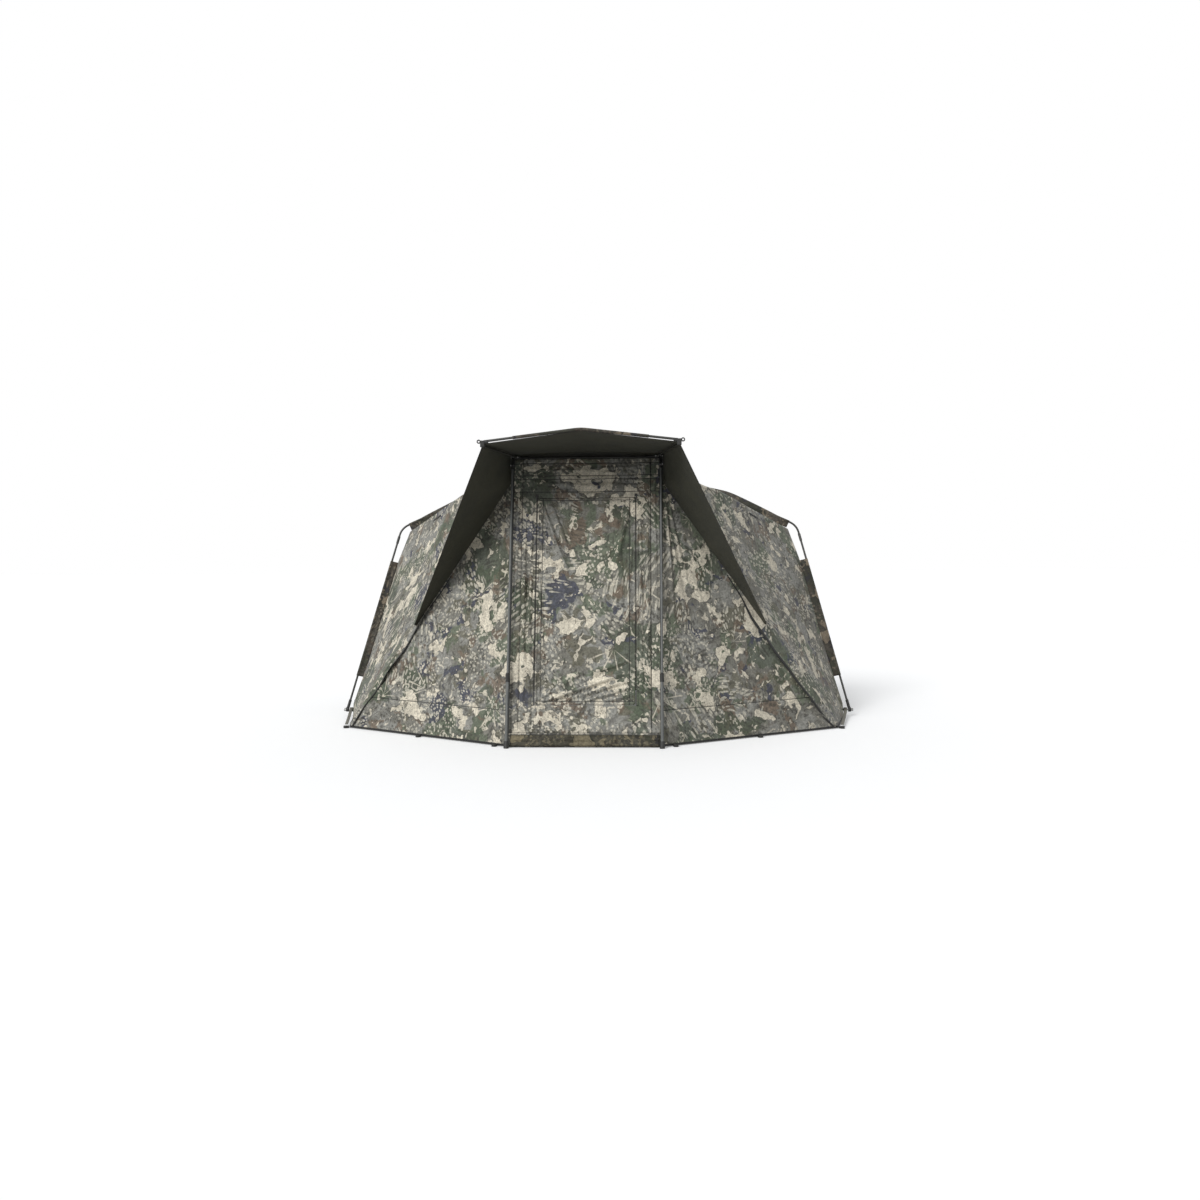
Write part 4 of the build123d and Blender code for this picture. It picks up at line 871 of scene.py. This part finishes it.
def bay_side(side, seed):
    front = [between(ground_corner, seam_top, s) for s in (0, 0.10, 0.34, 0.62, 1.0)] + [roof_corner]
    back = [p + 0 for p in NOTCH] + [on_rib(CENTRE_LEAN, *p) + AHEAD for p in CLOTH_LINE + CLOTH_ARCH[:1]]
    counts = [8, 16, 18, 18, 12]
    low = rounded(front, [0, 0, 0, 0, 0.05, 0], counts)
    high = rounded(back, [0, 0.05, 0.3, 0.3, 0.3, 0], counts)
    shares = edge_shares(56, 0.006)
    grid = np.array([between(low, high, s) for s in shares]).transpose(1, 0, 2)
    grid[0, :, 2] = np.maximum(grid[0, :, 2], 0.003)
    up = np.arange(grid.shape[0]) / (grid.shape[0] - 1)
    high_up = np.clip((up - 0.45) / 0.55, 0, 1) ** 1.6
    grid = grid + (high_up[:, None] * eave_dip(shares)[None, :])[..., None] * eave_way
    grid = slacken(grid, 0.004, fold_rows(BAY_FOLDS), 0.004, 0.22, seed, (0.03, 0.03, 0.03, 0.03))
    name = side_name(side)
    panel = cloth_sheet("canopy_side_" + name, to_side(side, grid), camo_cloth, lining, black_tape_and_shade,
                        tape_and_shade_faces(grid, rows=[0]))
    fit(panel, ["cabin_side_front_" + name])
    # a linear share that is nothing at the front seam and whole along the rib
    corners = np.array([ground_corner, roof_corner, NOTCH[1], on_rib(CENTRE_LEAN, *CLOTH_ARCH[0])])
    slope = np.linalg.solve(np.c_[corners, np.ones(4)], arr(0, 0, 1, 1))[:3]
    start, end = roof_corner, roof_corner + slope / (slope @ slope)
    path = (grid + 0.002 * normals_of(grid))[TAB_ROW, TAB_COLUMNS]
    across = unit(grid[TAB_ROW + 1, 38] - grid[TAB_ROW, 38])
    start, end, path, across = (to_side(side, points) for points in (start, end, path, across))
    eave_tabs.append((name, path, across, start, end))
    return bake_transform(panel)


for side, seed in ((-1, 31), (1, 35)):
    bay_side(side, seed)

# %% The back
BAY_STEPS, BACK_STEPS = 40, 44  # rows from the centre rib to the rear rib, and on to the ground
REAR_LINE = [(1.403 - 0.407 * out + 0.014, out) for out in (0.33, 0.66, 0.93)]


def outset(line, depth):
    """A line in a rib's plane, moved outwards by a depth, with its corners kept."""
    line = np.array(line)
    way = np.diff(line, axis=0)
    way /= np.linalg.norm(way, axis=1, keepdims=True)
    side = np.stack([way[:, 1], -way[:, 0]], axis=1)
    first, last = np.vstack([side[:1], side]), np.vstack([side, side[-1:]])
    share = 1 + np.sum(first * last, axis=1, keepdims=True)
    return line + depth * (first + last) / share


rear_arch = outset([(1.403, 0.0), (0.925, 1.175), (0.5, 1.268), (0.25, 1.283), (0.0, 1.298)], 0.014)[1:]
half_centre = [arr(1.443, 0.0009, 0.0846)] + [on_rib(CENTRE_LEAN, *p) + BEHIND for p in CLOTH_LINE + CLOTH_ARCH]
half_rear = [arr(1.449, 0.001, 0.080)] + [on_rib(REAR_LEAN, *p) for p in [*REAR_LINE, *rear_arch]]
half_hem = [arr(x, y, 0.004) for x, y in (
    (1.4492, 0.002), (1.392, 0.260), (1.285, 0.565), (1.1225, 0.81), (0.960, 1.055), (0.5, 1.215),
    (0.25, 1.236), (0.0, 1.25))]
half_counts = [10, 12, 10, 8, 16, 12, 12]
edges = []
for half, radii in ((half_centre, [0, 0.05, 0.3, 0.3, 0.095, 0.42, 0.42, 0.42]),
                    (half_rear, [0, 0.05, 0.3, 0.3, 0.10, 0.3, 0.42, 0.42]),
                    (half_hem, [0, 0.3, 0.4, 0.3, 0.25, 0.4, 0.5, 0.5])):
    points, counts = whole(half, half_counts)
    edges.append(rounded(points, radii + radii[-2::-1], counts))
back = np.stack([rounded(across, [0, 0.035, 0], [BAY_STEPS, BACK_STEPS]) for across in zip(*edges)], axis=1)
rows, cols = back.shape[:2]
row_at, col_at = np.arange(rows), np.linspace(0, pi, cols)
bellies = np.where(row_at < BAY_STEPS, np.sin(pi * row_at / BAY_STEPS),
                   np.sin(pi * (row_at - BAY_STEPS) / BACK_STEPS))
lift = -0.020 * bellies[:, None] * np.sin(col_at)[None, :] ** 0.5
hip = on_rib(REAR_LEAN, 0.93, 1.18)
BACK_FOLDS = [
    (*hip, 0.98, 0.98, 0.25, 0.03, 0.008), (*hip, 0.70, 1.12, 0.35, 0.03, -0.007),
    (*hip, 1.05, 0.62, 1.0, 0.02, 0.006), (0.96, 1.05, 0.02, 0.75, 1.10, 0.45, 0.03, 0.007),
    (1.285, 0.565, 0.02, 1.22, 0.60, 0.35, 0.025, 0.006), (0.5, 1.21, 0.02, 0.45, 1.15, 0.30, 0.03, 0.006),
    (*on_rib(CENTRE_LEAN, 1.16, 1.12), 1.0, 0.62, 0.95, 0.025, 0.007),
]
back_folds = [fold for side in (-1, 1) for fold in fold_rows(BACK_FOLDS, side=side)]
lift += (creases(back, back_folds) + 0.004 * rumple(back, 0.25, 41)) * fade(back, 0.04, 0.03, 0.0, 0.0)
lift *= (1 - np.exp(-((row_at - BAY_STEPS) / 1.5) ** 2))[:, None]  # the rear rib pins the cloth
back = back + normals_of(back) * lift[..., None]
canopy_rear = cloth_sheet("canopy_rear", back, camo_cloth, lining, black_tape_and_shade, tape_and_shade_faces(back, rows=[-1]))
fit(canopy_rear,
    ["cabin_roof_rear", "cabin_side_rear_left", "cabin_side_rear_right", "back_side_left", "back_side_right",
     "back_wall"])
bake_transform(canopy_rear)

# %% [markdown]
# ## The peak
# The peak is one sheet that wraps from one tip, up over the roof line and down to the other tip.
# Its inner edge is sewn to the front wall's seam. Its outer edge is bound with tape.

# %% The peak
PEAK_MIDDLE = arr(0, -1.15, 1.15)
stand = side_out * 0.0008
inner_half = [between(seam_top, peak_tip, s) + stand for s in (0.97, 0.66, 0.33, 0.0)]
inner_half += [roof_corner + arr(0.004, -0.0008, -0.014), roof_corner + arr(0, -0.0006, 0)]
inner_half += [arr((WALL_HALF + WALL_OUT) * c, roof_corner[1] - 0.0006, ROOF_HIGH + ARCH_RISE * (1 - c * c))
               for c in (0.72, 0.42, 0.0)]
knuckle_corner = arr(0.480, -1.248, 1.484)
lip = peak_tip + side_out * 0.0128
outer_half = [between(knuckle_corner, lip, s) for s in (0.97, 0.73, 0.46, 0.20, 0.0)]
outer_half += [arr(0.461 * c, -1.258, 1.497 + 0.057 * (1 - c)) for c in (1.0, 0.72, 0.42, 0.0)]
half_counts = [16, 16, 16, 10, 3, 8, 10, 12]
inner_points, counts = whole(inner_half, half_counts)
outer_points, counts = whole(outer_half, half_counts)
inner_turns, outer_turns = [0, 0.3, 0.3, 0.04, 0.004, 0.004, 0.3, 0.3], [0, 0.3, 0.3, 0.3, 0.004, 0.004, 0.3, 0.3]
inner_line = rounded(inner_points, inner_turns + [0.3] + inner_turns[::-1], counts)
outer_line = rounded(outer_points, outer_turns + [0.15] + outer_turns[::-1], counts)
peak = np.array([between(inner_line, outer_line, s) for s in edge_shares(40, 0.012)])
PEAK_FOLDS = [
    (*knuckle_corner, 0.50, -0.86, 1.10, 0.014, 0.004), (*peak_tip, 0.60, -0.95, 1.10, 0.012, 0.004),
]
peak_folds = [fold for side in (-1, 1) for fold in fold_rows(PEAK_FOLDS, side=side)]
peak = slacken(peak, 0.0, peak_folds, 0.0022, 0.12, 51, (0.03, 0.03, 0.03, 0.03), PEAK_MIDDLE)
peak_canopy = cloth_sheet("peak_canopy", peak, camo_cloth, lining, black_tape_and_shade, tape_and_shade_faces(peak, rows=[-1]),
                          inner=PEAK_MIDDLE)
fit(peak_canopy,
    ["peak_roof", "peak_side_left", "peak_side_right"])
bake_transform(peak_canopy)

# %% [markdown]
# ## Sleeves
# The centre rib runs outside the cloth in pockets. A pocket is one strip folded round the tube,
# with its two edges sewn together and on to the canopy. The fold's section is swept along the rib.

# %% Pockets round the tubes
POCKET_MOUTH, POCKET_WALL, POCKET_RADIUS = 0.0013, 0.0009, 0.0082


def pocket(name, path, inward, depth, radius=POCKET_RADIUS, crown=0.0):
    """A folded strip round a path. inward is the way to the cloth, depth its reach, crown its slack."""
    path = np.asarray(path)
    along = np.gradient(path, axis=0)
    along /= np.linalg.norm(along, axis=1, keepdims=True)
    inward = inward - np.sum(inward * along, axis=1, keepdims=True) * along
    inward /= np.linalg.norm(inward, axis=1, keepdims=True)
    side = np.cross(along, inward)
    depth, crown = np.broadcast_to(depth, len(path)), np.broadcast_to(crown, len(path))
    grid = []
    for p, v, w, d, c in zip(path, inward, side, depth, crown):
        turned = [p - v * (radius + c) * cos(a) + w * radius * sin(a) for a in np.linspace(-2.45, 2.45, 15)]
        flat = [p + v * (radius + (d - radius) * s) for s in (1.0, 0.7, 0.35)]
        grid.append([q - w * POCKET_MOUTH for q in flat] + turned + [q + w * POCKET_MOUTH for q in flat[::-1]])
    grid = np.array(grid)
    middles = np.repeat((path + inward * radius * 0.2)[:-1], grid.shape[1] - 1, axis=0)
    points, quads = facing_out(grid, middles)
    down, over = gone_along(path), gone_along(grid[0])
    uvs = np.stack(np.meshgrid(over, down), axis=-1).reshape(-1, 2)
    piece = new_piece(name, points, quads, [sleeve_cloth], None, uvs)
    piece["cut"] = [round(float(over[-1]), 3), round(float(down[-1]), 3), round(float(over[-1] * down[-1]), 3)]
    return thicken(piece, POCKET_WALL)


def scalloped(path, depth, wave, pitch):
    """A depth that is a little deeper and shallower along the way, as loose cloth is."""
    gone = gone_along(path)
    return depth + wave * np.sin(2 * pi * gone / pitch) * np.sin(pi * gone / gone[-1])


BEND, HAUNCH = (1.221, 1.140), (0.804, 1.337)  # where the rib's leg turns, and where its bow begins
SLEEVE_END = 1.176
share = (BEND[0] - SLEEVE_END) / (BEND[0] - HAUNCH[0])
sleeve_start = (SLEEVE_END, BEND[1] + (HAUNCH[1] - BEND[1]) * share)
top_line = (sleeve_start, HAUNCH, (0.400, 1.432), (0.0, 1.462))
top_points, counts = whole([on_rib(CENTRE_LEAN, *p) for p in top_line], [24, 26, 26])
top_path = rounded(top_points, [0, 0.42, 0.42, 0.42, 0.42, 0.42, 0], counts)
to_axle = on_rib(CENTRE_LEAN, 0, 0.25) - top_path
slack = 0.018 * np.sin(pi * np.clip((np.abs(top_path[:, 0]) - 0.36) / 0.74, 0, 1)) ** 0.8
sleeve_top = pocket("sleeve_top", top_path, to_axle, scalloped(top_path, 0.0402, 0.0004, 0.11), crown=slack)
fit(sleeve_top, ["rib_sleeve_top"], "centre_rib")
for side in (-1, 1):
    leg_path = even_steps([on_rib(CENTRE_LEAN, side * (1.490 - 0.236 * out), out) for out in (0.206, 0.924)], 50)
    inward = np.tile(arr(-side, 0, 0), (51, 1))
    name = side_name(side)
    sleeve = pocket("sleeve_" + name, leg_path, inward, scalloped(leg_path, 0.0405, 0.0004, 0.10))
    fit(sleeve, (), "centre_rib")
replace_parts(sleeve, "rib_sleeves_lower")

bar_points = [arr(-0.468, -1.270, 1.505), arr(0, -1.270, 1.560), arr(0.468, -1.270, 1.505)]
bar_path = rounded(bar_points, [0, 0.25, 0], [60, 60])
bar_path = bar_path[np.abs(bar_path[:, 0]) < 0.335]
inward = np.tile(arr(0, 1, -0.35), (len(bar_path), 1))
peak_sleeve = pocket("sleeve_peak", bar_path, inward, scalloped(bar_path, 0.0125, 0.0006, 0.09), 0.0080)
fit(peak_sleeve, ["peak_bar_sleeve"], "peak")

# %% [markdown]
# ## Straps, tabs and the threshold
# A webbing strap ties each ground block to the front corner. Under each eave is a short tab of
# black tape. The threshold is a loose fold of cloth between the pole feet.

# %% Small cloth parts
def ribbon(name, path, across, width, material):
    grid = np.stack([path + across * width * s for s in np.linspace(-0.5, 0.5, 5)], axis=1)
    return cloth_sheet(name, grid, material, material, thick=0.0014)


EYE, LOOP_RADIUS = 1.4650, 0.0112  # how far out the strap's eye on the axle is, and its radius
for side in (-1, 1):
    run = even_steps([arr(1.375, -0.482, 0.016), arr(EYE, -0.0475, 0.0400)], 40)
    run[:, 2] -= 0.004 * np.sin(np.linspace(0, pi, 41))
    loop = np.array([arr(EYE, AXLE_BACK - LOOP_RADIUS * cos(a), AXLE_HIGH + LOOP_RADIUS * sin(a))
                     for a in np.linspace(0.3, 5.6, 26)])
    path = to_side(side, np.concatenate([run[:-2], loop]))
    strap = ribbon("corner_strap_" + side_name(side), path, arr(1, 0, 0), 0.018, webbing)
    fit(strap, (), "front")
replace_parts(strap, "corner_straps")
for name, path, across, start, end in eave_tabs:
    tab = ribbon("eave_tab_" + name, path, across, 0.013, black_tape_and_shade)
    fit(tab, ())
    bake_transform(tab)

# %% Threshold
width = np.linspace(-0.372, 0.372, 90)
profile = [(0.002, 0.004), (0.014, 0.003), (0.020, 0.012), (0.012, 0.024), (0.016, 0.036), (0.009, 0.046),
           (0.012, 0.056), (0.003, 0.064)]  # out from the wall, and up it
profile_path = even_steps([arr(0, out, up) for out, up in profile], 28)
grid = np.array([[on_wall(x, up, out) for x in width] for _, out, up in profile_path])
loose = 0.007 * rumple(grid, 0.06, 61, (0.25, 1, 1)) * fade(grid, 0.01, 0.01, 0.03, 0.03)
grid = grid + arr(0, -1, 0.2) * np.abs(loose)[..., None]
bound = tape_and_shade_faces(grid, rows=[0, 1, 2, -3, -2, -1])
threshold = cloth_sheet("threshold_fold", grid, sill_cloth, lining, black_tape_and_shade, bound)
fit(threshold, body="front")

# %% [markdown]
# ## Zip chains by Geometry Nodes
# A zip is one small tooth, repeated. The node group resamples a line at the teeth's pitch, sets a
# tooth on each point, and turns it to lie along the line. Its inputs are the pitch and the tooth's
# size, so the same group could also make rows of stitches.

# %% A group that repeats a small block along a line
def repeat_group():
    group = bpy.data.node_groups.new("repeat along a line", "GeometryNodeTree")
    face = group.interface
    face.new_socket(name="Geometry", in_out="INPUT", socket_type="NodeSocketGeometry")
    for label, kind, value in (
            ("Pitch", "NodeSocketFloat", 0.003), ("Block Size", "NodeSocketVector", (0.002, 0.002, 0.002)),
            ("Up", "NodeSocketVector", (0.0, -1.0, 0.0)), ("Seed", "NodeSocketInt", 3),
            ("Material", "NodeSocketMaterial", None)):
        socket = face.new_socket(name=label, in_out="INPUT", socket_type=kind)
        if value is not None:
            socket.default_value = value
    face.new_socket(name="Geometry", in_out="OUTPUT", socket_type="NodeSocketGeometry")
    t = Tree(group)
    source, sink = t.add("NodeGroupInput"), t.add("NodeGroupOutput")
    line = t.add("GeometryNodeMeshToCurve", {"Mesh": source.outputs["Geometry"]})
    spaced = t.add("GeometryNodeResampleCurve", {"Curve": line.outputs[0], "Length": source.outputs["Pitch"]},
                   mode="LENGTH")
    block = t.add("GeometryNodeMeshCube", {"Size": source.outputs["Block Size"]})
    tangent = t.add("GeometryNodeInputTangent")
    first = t.add("FunctionNodeAlignRotationToVector", {"Vector": tangent.outputs[0]}, axis="X")
    second = t.add("FunctionNodeAlignRotationToVector",
                   {"Rotation": first.outputs[0], "Vector": source.outputs["Up"]}, axis="Z", pivot_axis="X")
    wobble = t.add("FunctionNodeRandomValue", {"Seed": source.outputs["Seed"], 2: 0.92, 3: 1.06},
                   data_type="FLOAT")
    placed = t.add("GeometryNodeInstanceOnPoints", {
        "Points": spaced.outputs[0], "Instance": block.outputs["Mesh"], "Rotation": second.outputs[0],
        "Scale": wobble.outputs[1]})
    real = t.add("GeometryNodeRealizeInstances", {0: placed.outputs[0]})
    done = t.add("GeometryNodeSetMaterial", {"Geometry": real.outputs[0], "Material": source.outputs["Material"]})
    group.links.new(done.outputs[0], sink.inputs["Geometry"])
    return group


repeat = repeat_group()


def repeated(name, lines, pitch, size, up, material):
    """One mesh of small blocks along lines."""
    verts, edges = [], []
    for line in lines:
        first = len(verts)
        verts += [tuple(p) for p in line]
        edges += [(k, k + 1) for k in range(first, len(verts) - 1)]
    mesh = bpy.data.meshes.new(name)
    mesh.from_pydata(verts, edges, [])
    piece = in_scene(name, mesh)
    rows = piece.modifiers.new("rows", "NODES")
    rows.node_group = repeat
    inputs = {item.name: item.identifier for item in repeat.interface.items_tree if item.in_out == "INPUT"}
    for label, value in (("Pitch", pitch), ("Block Size", size), ("Up", up), ("Material", material)):
        rows[inputs[label]] = value
    bake(piece)
    print(f"{name}: {len(piece.data.polygons)} faces")
    return piece


OUT = tuple(on_wall(0, 0, 1) - on_wall(0, 0, 0))
ZIP = 0.257


def zip_side(name, body, node, inner, low, high):
    """Both zips' chains on one side: the tape and a row of teeth beside it."""
    sign = -1 if inner else 1
    tapes, lines = [], []
    for side in (-1, 1):
        edge = side * (ZIP + sign * 0.0026)
        lines.append([on_wall(edge, up, 0.0004) for up in np.linspace(low, high, 5)])
        near, far = side * (ZIP + sign * 0.0030), side * (ZIP + sign * 0.0150)
        tapes.append([(on_wall(near, up, 0.0012), on_wall(far, up, 0.0010)) for up in np.linspace(low, high, 60)])
    teeth = repeated(name + "_teeth", lines, 0.0030, (0.0019, 0.0024, 0.0022), OUT, finishes["zip"])
    verts, faces, uvs = [], [], []
    for tape in tapes:
        first = len(verts)
        for k, pair in enumerate(tape):
            verts += list(pair)
            uvs += [(0, 0.018 * k), (0.012, 0.018 * k)]
            if k:
                a = first + 2 * k
                faces.append((a - 2, a - 1, a + 1, a))
    tape = new_piece(name + "_tape", verts, faces, [camo_cloth], None, uvs)
    facing = sum((f.normal * f.area for f in tape.data.polygons), Vector())
    if facing.dot(Vector(OUT)) < 0:
        tape.data.flip_normals()
    thicken(tape, 0.0007)
    for piece in (teeth, tape):
        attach(piece, body)
    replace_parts(teeth, node)


zip_side("door_zip", "door", "door_zip_inner", True, DOOR_LOW + 0.004, DOOR_HIGH - 0.003)
zip_side("jamb_zip", "front", "door_zip_outer", False, DOOR_LOW - 0.004, DOOR_HIGH + 0.020)

# %% [markdown]
# ## Light, floor and camera
# One wide sun and a plain sky light the shelter, and a pale floor keeps its soft shadow. The floor
# and the sky look white to the camera and in metal, but throw less light than white ones would.
# The camera stands a little to the right, just under a metre high, which shows the door almost
# flat and the peak from below.

# %% Stage
def looked_at(t):
    """1 for rays from the camera and from metal or glass, 0 for light that lands on the shelter."""
    rays = t.add("ShaderNodeLightPath").outputs
    mirrored = t.math("MAXIMUM", rays["Is Glossy Ray"], rays["Is Transmission Ray"])
    return t.math("MAXIMUM", rays["Is Camera Ray"], mirrored)


def light_floor():
    material, t, shader = new_material("pale floor", Roughness=0.9)
    seen = looked_at(t)
    t.link(t.mix(seen, (0.22, 0.22, 0.22, 1.0), (0.86, 0.86, 0.86, 1.0)), shader.inputs["Base Color"])
    shader.inputs["Emission Color"].default_value = (1.0, 1.0, 1.0, 1.0)
    t.link(t.times(seen, 0.17), shader.inputs["Emission Strength"])
    return material


size = 60.0  # half the floor's width
corners = [(-size, -size, 0), (size, -size, 0), (size, size, 0), (-size, size, 0)]
floor_mesh = bpy.data.meshes.new("floor")
floor_mesh.from_pydata(corners, [], [(0, 1, 2, 3)])
floor = in_scene("floor", floor_mesh)
floor.location.z = -0.001
floor_mesh.materials.append(light_floor())

world = bpy.data.worlds.new("studio")
bpy.context.scene.world = world
world.use_nodes = True
t = Tree(world.node_tree)
sky = world.node_tree.nodes["Background"]
seen = looked_at(t)
t.link(t.mix(seen, (0.96, 0.98, 1.0, 1.0), (1.0, 1.0, 1.0, 1.0)), sky.inputs["Color"])
t.link(t.math("MULTIPLY_ADD", seen, 0.42, 0.58), sky.inputs["Strength"])

sun = bpy.data.lights.new("key", "SUN")
sun.energy, sun.angle = 2.35, radians(26)
key = in_scene("key", sun)
key.location = (-3.4, -5.6, 4.4)
key.rotation_euler = key.location.to_track_quat("Z", "Y").to_euler()

yaw, pitch, roll = radians(2.8), radians(-2.2), radians(-0.37)
ahead_way = Vector((-sin(yaw), cos(yaw), 0))
right_way = Vector((cos(yaw), sin(yaw), 0))
looking = ahead_way * cos(pitch) + Vector((0, 0, sin(pitch)))
upward = ahead_way * -sin(pitch) + Vector((0, 0, cos(pitch)))
right = right_way * cos(roll) + upward * sin(roll)
upward = upward * cos(roll) - right_way * sin(roll)
lens = bpy.data.cameras.new("camera")
lens.sensor_width, lens.lens = 36.0, 34.5
camera = in_scene("camera", lens)
turned = Matrix((right, upward, -looking)).transposed().to_4x4()
camera.matrix_world = Matrix.Translation((0.36, -6.81, 0.95)) @ turned
bpy.context.scene.camera = camera
bpy.context.scene.view_settings.view_transform = "Standard"
